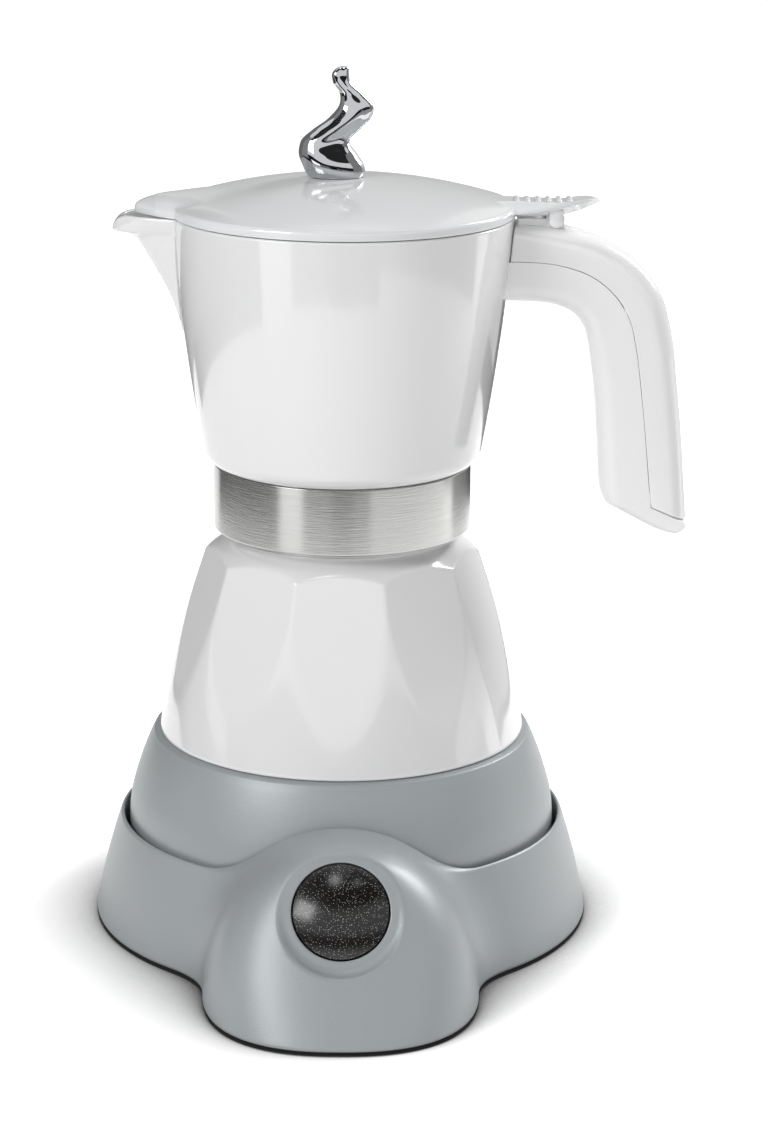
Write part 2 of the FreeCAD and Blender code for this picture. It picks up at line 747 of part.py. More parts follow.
skirt_blank = turned(
    "skirt_blank", (d.skirt_radius - d.skirt_wall - 0.4, SKIRT_BOTTOM),
    (d.skirt_radius - 0.4, SKIRT_BOTTOM), (d.skirt_radius, SKIRT_BOTTOM + 3),
    (d.skirt_radius, d.skirt_top - 26),
    ((d.skirt_radius - 2.6, d.skirt_top - 13), (d.skirt_top_radius + 2, d.skirt_top - 2.5)),
    ((d.skirt_top_radius + 0.9, d.skirt_top - 0.8), (d.skirt_top_radius - 1, d.skirt_top)),
    (d.skirt_top_radius - 1.4, d.skirt_top), (d.skirt_top_radius - 1.4, d.skirt_top - 2),
    ((d.skirt_radius - d.skirt_wall - 2.8, d.skirt_top - 14),
     (d.skirt_radius - d.skirt_wall, d.skirt_top - 26)),
    (d.skirt_radius - d.skirt_wall, SKIRT_BOTTOM + 3))
LUG_BOTTOM = d.skirt_top - 17
boss_radius = 4.0
skirt_boss = fuse("skirt_boss",
                  cylinder("skirt_boss_post", boss_radius, LUG_BOTTOM - 0.1 - PLATE_TOP,
                           (d.skirt_boss_ring, 0, PLATE_TOP + 0.05)),
                  box("skirt_boss_rib", (15.5, 2, LUG_BOTTOM - 0.1 - PLATE_TOP - 4),
                      (d.skirt_boss_ring, -1, PLATE_TOP + 0.05)))
skirt_bosses = around("skirt_bosses", skirt_boss, 3, 30)
boss_bore = cylinder("boss_bore", d.screw_radius + 0.2, 40, (d.skirt_boss_ring, 0, 10))
boss_bores = around("boss_bores", boss_bore, 3, 30)
node("heater_skirt", cut("heater_skirt", fuse("skirt_whole", skirt_blank, skirt_bosses), boss_bores))
plate_blank = tube("plate_blank", d.skirt_radius - d.skirt_wall - 0.6, 18.6, SKIRT_BOTTOM, PLATE_TOP)
plate_sink = cylinder("plate_sink", d.screw_head_radius + 0.2, d.screw_head_height / 2 + 0.2,
                      (d.skirt_boss_ring, 0, SKIRT_BOTTOM))
plate_sinks = around("plate_sinks", plate_sink, 3, 30)
node("skirt_bottom_plate", cut("skirt_bottom_plate", plate_blank, boss_bores, plate_sinks))
skirt_screw = place(turned(
    "skirt_screw", (0, 0), (d.screw_head_radius, 0), (d.screw_head_radius, d.screw_head_height / 2),
    (d.screw_radius, d.screw_head_height / 2), (d.screw_radius, LUG_BOTTOM + 6.3 - SKIRT_BOTTOM),
    (0, LUG_BOTTOM + 7.3 - SKIRT_BOTTOM)),
    (d.skirt_boss_ring, 0, SKIRT_BOTTOM + 0.15))
node("skirt_screws", around("skirt_screws", skirt_screw, 3, 30))

# Round connector, pot side

CUP_TOP = POST_TOP + 5
node("pot_connector", turned(
    "pot_connector", (d.post_radius + d.connector_gap, SKIRT_BOTTOM + 0.4), (18.4, SKIRT_BOTTOM + 0.4),
    (18.4, PLATE_TOP + 0.05), (22, PLATE_TOP + 0.05), (22, PLATE_TOP + 2), (18.4, PLATE_TOP + 2),
    (18.4, CUP_TOP + 2), (0, CUP_TOP + 2), (0, CUP_TOP),
    (d.post_radius + d.connector_gap, CUP_TOP)))
blades = [tube("blade%d" % number, radius + d.ring_half_wall, radius - d.ring_half_wall,
               SOCKET_BOTTOM + 6, CUP_TOP)
          for number, radius in enumerate((d.inner_ring_radius, d.outer_ring_radius))]
pot_pin = turned("pot_pin", (0, SOCKET_BOTTOM + 4), (d.pin_radius, SOCKET_BOTTOM + 6),
                 (d.pin_radius, CUP_TOP), (0, CUP_TOP))
node("connector_pins", group("connector_pins", pot_pin, *blades))

# Heating stack under the boiler

HEAT_PLATE_BOTTOM = d.boiler_bottom - d.heat_plate_thickness
groove = DOC.addObject("Part::Torus", "element_groove")
bind(groove, "Radius1", d.element_ring)
bind(groove, "Radius2", d.element_radius + 0.12)
place(groove, (0, 0, HEAT_PLATE_BOTTOM))
plate_disc = disc("heat_plate_disc", d.heat_plate_radius, HEAT_PLATE_BOTTOM, d.boiler_bottom - 0.05)
node("heat_plate", cut("heat_plate", plate_disc, groove))
element = DOC.addObject("Part::Torus", "element_ring")
bind(element, "Radius1", d.element_ring)
bind(element, "Radius2", d.element_radius)
element.Angle3 = 310
place(element, (0, 0, HEAT_PLATE_BOTTOM), V(0, 0, 1), 25)
node("heating_element", element)
node("thermostat", turned("thermostat", (0, HEAT_PLATE_BOTTOM - 7), (6.5, HEAT_PLATE_BOTTOM - 7),
                          (6.5, HEAT_PLATE_BOTTOM - 4), (8.5, HEAT_PLATE_BOTTOM - 4),
                          (8.5, HEAT_PLATE_BOTTOM - 0.1), (0, HEAT_PLATE_BOTTOM - 0.1)))
node("thermal_fuse", cylinder("thermal_fuse", 2.2, 14, (-7, 20, HEAT_PLATE_BOTTOM - 2.3), "X"))

# Boiler

bell_inside = d.boiler_wall
boiler_blank = turned(
    "boiler_blank", (0, d.boiler_bottom), (d.skirt_top_radius - 1.8, d.boiler_bottom),
    (d.skirt_top_radius - 1.8, d.skirt_top + 0.3), (d.boiler_foot_radius, d.skirt_top + 0.3),
    ((d.boiler_mid_radius, d.boiler_mid_height),
     (d.boiler_shoulder_radius, d.boiler_shoulder_height)),
    (d.cone_radius, d.cone_height),
    (d.neck_radius, d.cone_height + (d.cone_radius - d.neck_radius) * d.cone_slope),
    (d.neck_radius, d.neck_top - 0.8), (d.neck_radius - 0.8, d.neck_top),
    (d.neck_bore, d.neck_top),
    (d.neck_bore, d.cone_height + 1),
    (d.boiler_shoulder_radius - d.boiler_wall - 3.4, d.boiler_shoulder_height - 3),
    ((d.boiler_mid_radius - d.boiler_wall - 1.4, d.boiler_mid_height),
     (d.boiler_foot_radius - d.boiler_wall - 1, d.boiler_floor + 4)),
    ((d.boiler_foot_radius - d.boiler_wall - 2.2, d.boiler_floor + 1.2),
     (d.boiler_foot_radius - d.boiler_wall - 5, d.boiler_floor)),
    (0, d.boiler_floor))
cone_tool = turned(
    "cone_tool", (d.neck_radius, d.cone_height + (d.cone_radius - d.neck_radius) * d.cone_slope),
    (d.cone_radius + 20, d.cone_height - d.cone_slope * 20),
    (d.cone_radius + 20, d.cone_height + 20), (d.neck_radius, d.cone_height + 20))
facet_lean = (d.facet_low_radius - d.facet_high_radius) / (d.facet_high_height
                                                            - d.facet_low_height)
facet_foot = d.skirt_top + 5
facet_head = d.skirt_top + 63
facet_tool = padded(
    "facet_tool", "XZ_Plane", 60, None,
    (d.facet_low_radius + facet_lean * (d.facet_low_height - facet_foot), facet_foot),
    (d.base_radius + 7, facet_foot), (d.base_radius + 7, facet_head),
    (d.facet_low_radius + facet_lean * (d.facet_low_height - facet_head), facet_head))
facet_tools = around("facet_tools", facet_tool, int(SIZES["facet_count"]), 90)
lug = cylinder("boiler_lug", boss_radius, d.boiler_bottom - LUG_BOTTOM + 1,
               (d.skirt_boss_ring, 0, LUG_BOTTOM))
lugs = around("boiler_lugs", lug, 3, 30)
lug_bore = cylinder("lug_bore", d.screw_radius + 0.05, 12, (d.skirt_boss_ring, 0, LUG_BOTTOM - 1))
lug_bores = around("lug_bores", lug_bore, 3, 30)
VALVE_SHANK = 4.2
VALVE_FACE = d.neck_radius + 9.8
valve_hole = cylinder("valve_hole", VALVE_SHANK + d.fit_gap, 20, (0, VALVE_FACE - 10.5, d.valve_height), "Y")
valve_boss = cylinder("valve_boss", 7.2, 7, (0, VALVE_FACE - 7.1, d.valve_height), "Y")
valve_seat = cylinder("valve_seat", 7, 10, (0, VALVE_FACE - 0.05, d.valve_height), "Y")
boiler_cut = cut("boiler_cut", cut("boiler_coned", boiler_blank, cone_tool), facet_tools)
node("boiler", cut("boiler", fuse("boiler_whole", boiler_cut, lugs, valve_boss),
                   lug_bores, valve_hole, valve_seat))

# Safety valve at the back of the boiler

valve_blank = place(turned(
    "valve_blank", (1.8, -7.5), (VALVE_SHANK, -7.5), (VALVE_SHANK, 0), (6.6, 0), (6.6, 3.6),
    (5.8, 4.4), (1.3, 4.4), (1.3, 3.2), (3, 3.2), (3, -6.3), (1.8, -6.3)),
    (0, VALVE_FACE, d.valve_height), V(1, 0, 0), -90)
hexagon = DOC.addObject("Part::Prism", "valve_hexagon")
hexagon.Polygon = 6
bind(hexagon, "Circumradius", 6.4)
bind(hexagon, "Height", 30)
place(hexagon, (0, VALVE_FACE - 15, d.valve_height), V(1, 0, 0), -90)
node("safety_valve_body", common("safety_valve_body", valve_blank, hexagon))
node("valve_stem", place(turned(
    "valve_stem", (0, -6), (2.7, -6), (2.7, -5), (1, -5), (1, 5), (0, 5.6)),
    (0, VALVE_FACE, d.valve_height), V(1, 0, 0), -90))

# Coffee funnel

BASKET_RADIUS = d.neck_bore - d.basket_gap
FLANGE_TOP = d.neck_top + 1.2
BASKET_FLOOR = FLANGE_TOP - d.basket_depth
TUBE_BOTTOM = d.boiler_floor + d.tube_clearance
node("coffee_funnel", turned(
    "coffee_funnel", (d.tube_radius - 0.7, TUBE_BOTTOM), (d.tube_radius, TUBE_BOTTOM),
    (d.tube_radius, BASKET_FLOOR - 9), (BASKET_RADIUS - 3, BASKET_FLOOR - 2),
    (BASKET_RADIUS, BASKET_FLOOR), (BASKET_RADIUS, d.neck_top + 0.1),
    (d.neck_radius - 0.6, d.neck_top + 0.1), (d.neck_radius - 0.6, FLANGE_TOP),
    (BASKET_RADIUS - d.basket_wall, FLANGE_TOP), (BASKET_RADIUS - d.basket_wall, BASKET_FLOOR),
    (BASKET_RADIUS - 3.6, BASKET_FLOOR - 1.3), (d.tube_radius - 0.7, BASKET_FLOOR - 8.4)))


def holed(name, blank, radius, rings, low, high):
    """A plate with rings of small round holes about its centre."""
    holes = []
    for ring, (distance, count) in enumerate(rings):
        for step in range(count):
            angle = 2 * math.pi * (step + 0.5 * (ring % 2)) / max(count, 1)
            holes.append(Part.makeCylinder(radius, high - low, V(distance * math.cos(angle),
                                                                 distance * math.sin(angle), low)))
    return cut(name, blank, shape(name + "_holes", Part.makeCompound(holes)))


sieve_blank = disc("sieve_blank", BASKET_RADIUS - d.basket_wall - 0.1, BASKET_FLOOR + 0.05,
                   BASKET_FLOOR + 0.75)
node("funnel_sieve", holed("funnel_sieve", sieve_blank, 1.0, [(0, 1), (7, 6), (14, 12)],
                           float(BASKET_FLOOR) - 1, float(BASKET_FLOOR) + 3))

# Gasket and filter plate under the jug

GASKET_LOW = FLANGE_TOP + 0.05
GASKET_TOP = GASKET_LOW + d.gasket_thickness
node("gasket", turned(
    "gasket", (d.gasket_bore_radius, GASKET_LOW), (d.collar_bore - 0.6, GASKET_LOW),
    (d.collar_bore - 0.6, GASKET_TOP), (d.gasket_bore_radius + 0.8, GASKET_TOP),
    (d.gasket_bore_radius, GASKET_TOP - 0.8)))
FILTER_LOW = GASKET_TOP + 0.1
filter_blank = turned(
    "filter_blank", (0, FILTER_LOW + 1.2), (21, FILTER_LOW + 1.2), (23, FILTER_LOW),
    (d.filter_radius, FILTER_LOW), (d.filter_radius, FILTER_LOW + d.filter_thickness),
    (23.3, FILTER_LOW + d.filter_thickness), (21.3, FILTER_LOW + 1.2 + d.filter_thickness),
    (0, FILTER_LOW + 1.2 + d.filter_thickness))
node("filter_plate", holed("filter_plate", filter_blank, 1.0, [(0, 1), (7, 6), (14, 12)],
                           float(FILTER_LOW), float(FILTER_LOW) + 4))

# Threaded collar, band and column

node("threaded_collar", turned(
    "threaded_collar", (d.collar_bore, d.collar_bottom),
    (d.collar_radius - d.collar_chamfer, d.collar_bottom),
    (d.collar_radius, d.collar_bottom + d.collar_chamfer),
    (d.collar_radius, d.collar_top), (5.6, d.collar_top),
    (5.6, d.collar_web_bottom + 2.6), (20, d.collar_web_bottom + 2.2), (22, d.collar_web_bottom + 2.2),
    (24, d.collar_web_bottom + 0.2), (d.collar_bore, d.collar_web_bottom + 0.2)))
CURL_TOP = d.band_bottom + d.band_curl
node("steel_band", turned(
    "steel_band", (d.collar_radius + 0.05, CURL_TOP),
    (d.band_radius - 1.6, d.band_bottom + 0.55), (d.band_radius - 1.6, d.band_bottom),
    (d.band_radius - 0.9, d.band_bottom), (d.band_radius - 0.3, d.band_bottom + 0.6),
    (d.band_radius, CURL_TOP),
    (d.band_radius, d.band_top - 0.3), (d.band_radius - 0.3, d.band_top),
    (d.collar_radius + 0.05, d.band_top)))
COLUMN_TOP = d.jug_floor_top + d.column_height
column_blank = turned(
    "column_blank", (d.column_bore, d.collar_web_bottom + 2.9), (5.5, d.collar_web_bottom + 2.9),
    (5.5, d.jug_floor_top + 0.9), (d.column_flange, d.jug_floor_top + 0.9),
    (d.column_flange, d.jug_floor_top + 2.4), (d.column_foot_radius, d.jug_floor_top + 3.6),
    (d.column_top_radius, COLUMN_TOP - 6), (d.column_top_radius, COLUMN_TOP),
    (d.column_bore, COLUMN_TOP))
node("riser_column", column_blank)
node("column_seal", tube("column_seal", d.column_flange - 0.6, 6, d.jug_floor_top + 0.05,
                         d.jug_floor_top + 0.85))
cap_blank = turned(
    "cap_blank", (d.column_top_radius + 0.1, COLUMN_TOP - 5), (d.column_top_radius + 1.2, COLUMN_TOP - 5),
    (d.column_top_radius + 1.2, COLUMN_TOP + 3.6),
    (cap_point(d.column_top_radius + 1.2, COLUMN_TOP + 3.6, COLUMN_TOP + 6), (0, COLUMN_TOP + 6)),
    (0, COLUMN_TOP + 4.8), (d.column_top_radius - 0.4, COLUMN_TOP + 3.6),
    (d.column_top_radius - 0.4, COLUMN_TOP + 0.1), (d.column_top_radius + 0.1, COLUMN_TOP + 0.1))
cap_slot = box("cap_slot", (2.6, 20, 2.4), (-1.3, -10, COLUMN_TOP + 0.8))
node("riser_cap", cut("riser_cap", cap_blank, cap_slot))

# Jug with its spout and the inner half of the handle

SPOUT_STATIONS = [
    # share of the spout's height, reach past the rim as a share of the spout's own, half-width as
    # a share of the spout's own, sharpness
    (0.0, -0.31, 0.09, 2.2), (0.25, -0.054, 0.37, 2.2), (0.46, 0.173, 0.585, 2.1),
    (0.685, 0.429, 0.77, 1.9), (0.79, 0.56, 0.86, 1.8), (0.875, 0.74, 0.91, 1.6)]
BEAK_STATIONS = [
    (0.0, 0.958, 0.92, 1.4), (0.15, 1.0, 0.94, 1.4), (0.5, 0.99, 0.97, 1.4), (1.0, 0.94, 1.0, 1.4)]
CHANNEL_STATIONS = [
    (0.25, -0.054, 0.37, 2.2), (0.46, 0.173, 0.585, 2.1), (0.685, 0.429, 0.77, 1.9),
    (0.875, 0.70, 0.91, 1.6), (0.94, 0.90, 0.96, 1.4), (1.0, 0.94, 1.0, 1.4), (1.04, 0.95, 1.0, 1.4)]


def spout_wire(height, reach, half, sharpness, back, wall):
    """One level of the spout: a keel curve from cheek to cheek, closed by a flat back."""
    points = []
    for step in range(13):
        angle = math.pi * (step / 12 - 0.5)
        out = wall + (reach - wall) * math.cos(angle) ** sharpness
        points.append(V(-out, half * math.sin(angle), height))
    keel = Part.BSplineCurve()
    keel.interpolate(points)
    corners = [points[-1], V(back, half, height), V(back, -half, height), points[0]]
    return Part.Wire([keel.toShape()] + [Part.makeLine(a, b) for a, b in zip(corners, corners[1:])])


def spout_loft(stations, low, tall, inset):
    """Part of the spout as one solid, drawn in by an inset for its inside."""
    rim = float(d.jug_rim_radius)
    wires = []
    for share, out, wide, sharpness in stations:
        reach = rim + float(d.spout_reach) * out - inset * 1.15
        half = float(d.spout_half_width) * wide - inset * 0.9
        wires.append(spout_wire(low + tall * share, reach, half, sharpness, 18.8 - rim,
                                rim - 6.8 - inset * 1.15))
    return Part.makeLoft(wires, True, False)


jug_outside = turned(
    "jug_outside", (0, d.jug_bottom), (d.band_radius, d.jug_bottom),
    ((d.band_radius + 2.3, d.jug_bottom + 2.1), (d.jug_low_radius, d.jug_low_height)),
    ((d.jug_mid_radius, d.jug_mid_height), (d.jug_rim_radius, d.jug_rim_height)),
    (0, d.jug_rim_height))
jug_inside = turned(
    "jug_inside", (0, d.jug_floor_top), (d.band_radius - 1.2, d.jug_floor_top),
    ((d.band_radius + 0.5, d.jug_floor_top + 0.8), (d.band_radius + 1.2, d.jug_floor_top + 2.6)),
    ((d.jug_mid_radius - d.jug_wall, d.jug_mid_height),
     (d.jug_rim_radius - d.jug_wall, d.jug_rim_height)),
    (d.jug_rim_radius - d.jug_wall, d.jug_rim_height + 2), (0, d.jug_rim_height + 2))
jug_under = turned(
    "jug_under", (0, d.jug_bottom - 1), (d.collar_radius + 0.1, d.jug_bottom - 1),
    (d.collar_radius + 0.1, d.jug_floor_bottom), (0, d.jug_floor_bottom))
SPOUT_LOW = float(d.jug_rim_height - d.spout_height)
BEAK_LOW = d.jug_rim_height - d.beak_height
spout_keel = shape("spout_keel", spout_loft(SPOUT_STATIONS, SPOUT_LOW, float(d.spout_height), 0))
spout_beak = shape("spout_beak", spout_loft(BEAK_STATIONS, float(BEAK_LOW), float(d.beak_height), 0))
spout_inside = shape("spout_inside", spout_loft(CHANNEL_STATIONS, SPOUT_LOW, float(d.spout_height),
                                                float(d.spout_wall)))
beak_start = -d.jug_rim_radius - d.spout_reach + d.beak_round
beak_trim = padded(
    "beak_trim", "XZ_Plane", 60, None, (beak_start, d.jug_rim_height),
    ((beak_start - d.beak_round * 0.7071, d.jug_rim_height - d.beak_round * 0.2929),
     (beak_start - d.beak_round, d.jug_rim_height - d.beak_round)),
    (beak_start - d.beak_round - 8, d.jug_rim_height - d.beak_round),
    (beak_start - d.beak_round - 8, d.jug_rim_height + 6), (beak_start, d.jug_rim_height + 6))

# Places on the handle's side outline: outwards from the jug's rim, and upwards from its top.
HANDLE_OUTER = [(-4.8, -2.2), (5.2, -2.6), (12.9, -3.5), (21.2, -5.6), (29.8, -9.7),
                (37.4, -15.7), (42.5, -24.2), (45.3, -36.1), (48.1, -60.4), (50.5, -85.7)]
HANDLE_TOE = [(50.1, -90.6), (47.4, -92.8)]
HANDLE_FOOT = [(43.8, -91.5), (28.7, -83.9)]
HANDLE_INNER = [(26.6, -74.8), (23.8, -51.8), (21.8, -37.3), (19.5, -30.6), (15.2, -26.1),
                (8.2, -24.4), (-6.8, -23.9)]
SEAM_LINE = [(5.5, -12.3), (13.8, -13.4), (22.2, -16.4), (28.9, -21.6), (33.1, -28.6),
             (35.2, -36.2), (37.3, -48.9), (39.2, -66.1), (40.8, -86.1)]


def side_points(points, y):
    """Places beside the rim as points in space."""
    rim, top = float(d.jug_rim_radius), float(d.jug_rim_height)
    return [V(rim + out, y, top + up) for out, up in points]


def side_curve(points, y):
    curve = Part.BSplineCurve()
    curve.interpolate(side_points(points, y))
    return curve.toShape()


def handle_bar():
    """The whole handle: its side outline padded across, with its long edges rounded."""
    y = -float(d.handle_width) / 2
    outer = side_curve(HANDLE_OUTER, y)
    inner = side_curve(HANDLE_INNER, y)
    toe = Part.Arc(*side_points([HANDLE_OUTER[-1], HANDLE_TOE[0], HANDLE_TOE[1]], y)).toShape()
    foot = side_points([HANDLE_TOE[1]] + HANDLE_FOOT + [HANDLE_INNER[0]], y)
    straight = [Part.makeLine(a, b) for a, b in zip(foot, foot[1:])]
    back = Part.makeLine(side_points([HANDLE_INNER[-1]], y)[0], side_points([HANDLE_OUTER[0]], y)[0])
    face = Part.Face(Part.Wire([outer, toe] + straight + [inner, back]))
    return face.extrude(V(0, float(d.handle_width), 0))


def rounded_bar():
    """The handle with its four long edges rounded."""
    bar = handle_bar()
    long_edges = [edge for edge in bar.Edges
                  if edge.Length > 60 and abs(edge.BoundBox.YLength) < 0.01]
    return bar.makeFillet(float(d.handle_round), long_edges)


def cover_zone(offset):
    """The room outside the seam line, which belongs to the handle's cover."""
    half = float(d.handle_width)
    start = -1.1 + offset
    seam = [(out + offset * 0.8, up + offset * 0.6) for out, up in SEAM_LINE]
    curve = side_curve(seam, -half)
    first = side_points([(start, 6.2), (start, -12.2 + offset)], -half)
    last = side_points([seam[-1], (52.2, -90.6 + offset), (71.2, -90.6 + offset), (71.2, 6.2),
                        (start, 6.2)], -half)
    edges = [Part.makeLine(first[0], first[1]),
             Part.makeLine(first[1], side_points([seam[0]], -half)[0]), curve]
    edges += [Part.makeLine(a, b) for a, b in zip(last, last[1:])]
    return Part.Face(Part.Wire(edges)).extrude(V(0, 2 * half, 0))


bar = rounded_bar()
handle_core = shape("handle_core", bar.cut(cover_zone(0.0)))
barrel = cylinder("hinge_barrel", d.hinge_barrel_radius, d.hinge_barrel_width,
                  (d.hinge_out, -d.hinge_barrel_width / 2, d.hinge_up), "Y")
barrel_stand = box("barrel_stand", (2 * d.hinge_barrel_radius, d.hinge_barrel_width, 8),
                   (d.hinge_out - d.hinge_barrel_radius, -d.hinge_barrel_width / 2,
                    d.hinge_up - 8))
barrel_bore = cylinder("barrel_bore", d.hinge_pin_radius + d.fit_gap, 60,
                       (d.hinge_out, -30, d.hinge_up), "Y")
spout = cut("spout", fuse("spout_whole", spout_keel, spout_beak), beak_trim)
jug_solid = fuse("jug_solid", jug_outside, spout, handle_core)
column_hole = cylinder("column_hole", 5.6, 20, (0, 0, d.jug_bottom))
node("jug", cut("jug", jug_solid, jug_inside, jug_under, spout_inside, column_hole))
cover_blank_solid = shape("handle_cover_blank", bar.common(cover_zone(float(d.handle_seam))))
hinge_block = fuse("hinge_block", barrel, barrel_stand)
cover_end = 0.35
jug_room = turned(
    "jug_room", (0, d.jug_low_height), (d.jug_low_radius + cover_end, d.jug_low_height),
    ((d.jug_mid_radius + cover_end, d.jug_mid_height), (d.jug_rim_radius + cover_end, d.jug_rim_height)),
    (d.jug_rim_radius + cover_end, d.jug_rim_height + 6), (0, d.jug_rim_height + 6))
node("handle_cover", cut("handle_cover", fuse("handle_cover_whole", cover_blank_solid, hinge_block),
                         barrel_bore, jug_room))
PIN_BACK = d.hinge_barrel_width / 2 + d.hinge_gap + d.hinge_lug_width
PIN_FRONT = PIN_BACK - d.hinge_lug_cover
node("hinge_pin", cylinder("hinge_pin", d.hinge_pin_radius, PIN_FRONT + PIN_BACK,
                           (d.hinge_out, -PIN_FRONT, d.hinge_up), "Y"))

# Lid

LID_INSIDE = d.lid_crown - d.lid_thickness
LIP_RADIUS = d.jug_rim_radius - d.jug_wall - d.lid_lip_gap
LID_ROOM = LIP_RADIUS - 2.1
DOME_RADIUS = d.jug_rim_radius - 1
DOME_EDGE = d.lid_bottom + d.lid_edge
lid_dome = turned(
    "lid_dome", (0, LID_INSIDE),
    (cap_point(LID_ROOM, d.lid_bottom + 1.2, LID_INSIDE), (LID_ROOM, d.lid_bottom + 1.2)),
    (LID_ROOM, d.lid_bottom - d.lid_lip_depth), (LIP_RADIUS, d.lid_bottom - d.lid_lip_depth),
    (LIP_RADIUS, d.lid_bottom), (d.jug_rim_radius, d.lid_bottom),
    (d.jug_rim_radius + 0.2, d.lid_bottom + 1.2), (d.jug_rim_radius - 0.2, DOME_EDGE - 0.7),
    (DOME_RADIUS, DOME_EDGE), (cap_point(DOME_RADIUS, DOME_EDGE, d.lid_crown), (0, d.lid_crown)))

TONGUE_EDGE = 2.1
TONGUE_STATIONS = [
    # outwards from the rim, half-width, height of the ridge over the lid's bottom
    (-20.8, 32.5, 7.2), (-12.8, 24.5, 6.8), (-6.8, 18.5, 6.4), (-2.4, 14.1, 5.95), (1.1, 11.3, 5.6),
    (4.0, 8.8, 5.1), (7.0, 5.3, 4.2), (8.6, 3.3, 3.5), (9.5, 2.2, 2.9), (10.1, 1.2, 2.35)]
LEVER_STATIONS = [
    # outwards from the rim, then half-width and height over the lid's bottom of the top, the edge
    # and the underside
    (-10.8, 6.5, 4.6, 16.0, 1.2, 6.0, 0.0), (-4.8, 5.2, 4.3, 13.5, 1.25, 6.0, 0.0),
    (-0.8, 4.6, 4.2, 10.9, 1.3, 5.5, 0.0), (6.2, 4.2, 4.0, 9.8, 1.95, 5.0, 0.05),
    (12.2, 3.8, 3.9, 8.8, 2.8, 4.8, 0.4), (17.7, 3.2, 4.25, 7.0, 3.9, 3.8, 1.5),
    (21.2, 2.4, 4.7, 4.8, 4.4, 2.4, 2.7), (23.8, 0.8, 4.2, 1.4, 4.0, 0.7, 3.6)]


def tongue_loft(stations, inset):
    """The lid's tongue as one solid: upright edges under a rounded ridge, drawn in by an inset."""
    rim, low = float(d.jug_rim_radius), float(d.lid_bottom)
    stretch = float(d.tongue_out) / 10.1
    wires = []
    for out, half, ridge in stations:
        x = -rim - out * stretch
        side = half - inset
        corners = [V(x, side, low + TONGUE_EDGE - inset), V(x, side, low - 2 * inset),
                   V(x, -side, low - 2 * inset), V(x, -side, low + TONGUE_EDGE - inset)]
        roof = Part.Arc(corners[-1], V(x, 0, low + ridge - inset), corners[0]).toShape()
        wires.append(Part.Wire([Part.makeLine(a, b) for a, b in zip(corners, corners[1:])] + [roof]))
    return Part.makeLoft(wires, True, True)


def lever_loft():
    """The lid's lever as one solid of six-sided sections."""
    rim, low = float(d.jug_rim_radius), float(d.lid_bottom)
    stretch, tall = float(d.lever_length) / 12.6, float(d.lever_rise) / 3.9
    wires = []
    for out, top_half, top, edge_half, edge, low_half, bottom in LEVER_STATIONS:
        x = rim + out * (stretch if out > 0 else 1)
        corners = [V(x, side * half, low + up * tall) for side, half, up in (
            (1, top_half, top), (1, edge_half, edge), (1, low_half, bottom),
            (-1, low_half, bottom), (-1, edge_half, edge), (-1, top_half, top))]
        wires.append(Part.makePolygon(corners + corners[:1]))
    return Part.makeLoft(wires, True, False)


tongue = cut("tongue", shape("tongue_outside", tongue_loft(TONGUE_STATIONS, 0)),
             shape("tongue_inside", tongue_loft(TONGUE_STATIONS[3:8], 1.6)))
lever = shape("lever", lever_loft())
RIB_HEIGHTS = [4.2, 4.12, 4.04, 3.97, 3.93, 4.0]
ribs = []
for number in range(int(SIZES["rib_count"])):
    half_rib = 4.1 - 0.15 * number
    rise = RIB_HEIGHTS[min(number, 5)] / 3.9 * d.lever_rise
    ribs.append(cylinder("rib%d" % number, d.rib_height, 2 * half_rib,
                         (d.jug_rim_radius + 0.3 + d.rib_pitch * number, -half_rib,
                          d.lid_bottom + rise - 0.1), "Y"))
lugs_wide = []
for number, side in enumerate((-1, 1)):
    inner = d.hinge_barrel_width / 2 + d.hinge_gap
    low = -inner - d.hinge_lug_width if side < 0 else inner
    lugs_wide.append(cylinder("lid_lug%d" % number, d.hinge_lug_radius, d.hinge_lug_width,
                              (d.hinge_out, low, d.hinge_up), "Y"))
    lugs_wide.append(box("lid_lug_web%d" % number,
                         (2 * d.hinge_lug_radius, d.hinge_lug_width, d.lever_top - 1 - d.hinge_up),
                         (d.hinge_out - d.hinge_lug_radius, low, d.hinge_up)))
barrel_room = cylinder("barrel_room", d.hinge_barrel_radius + d.hinge_gap,
                       d.hinge_barrel_width + 2 * d.hinge_gap,
                       (d.hinge_out, -d.hinge_barrel_width / 2 - d.hinge_gap, d.hinge_up), "Y")
lid_bore = cylinder("lid_bore", d.hinge_pin_radius + d.fit_gap, 40,
                    (d.hinge_out, -PIN_FRONT - d.fit_gap, d.hinge_up), "Y")
knob_screw_hole = cylinder("knob_screw_hole", d.screw_radius + 0.1, 10, (0, 0, d.lid_crown - 5))
lid_tongue = cut("lid_tongue", fuse("lid_rims", tongue, lever), turned(
    "lid_clear", (0, d.lid_bottom - 5), (LID_ROOM, d.lid_bottom - 5),
    (LID_ROOM, d.lid_bottom + 1.2),
    (cap_point(LID_ROOM, d.lid_bottom + 1.2, LID_INSIDE), (0, LID_INSIDE))))
node("lid", cut("lid", fuse("lid_whole", lid_dome, lid_tongue, *ribs, *lugs_wide),
                barrel_room, lid_bore, knob_screw_hole))

# Knob: a wisp of steam cast in metal, as ovals stacked on a line that sways

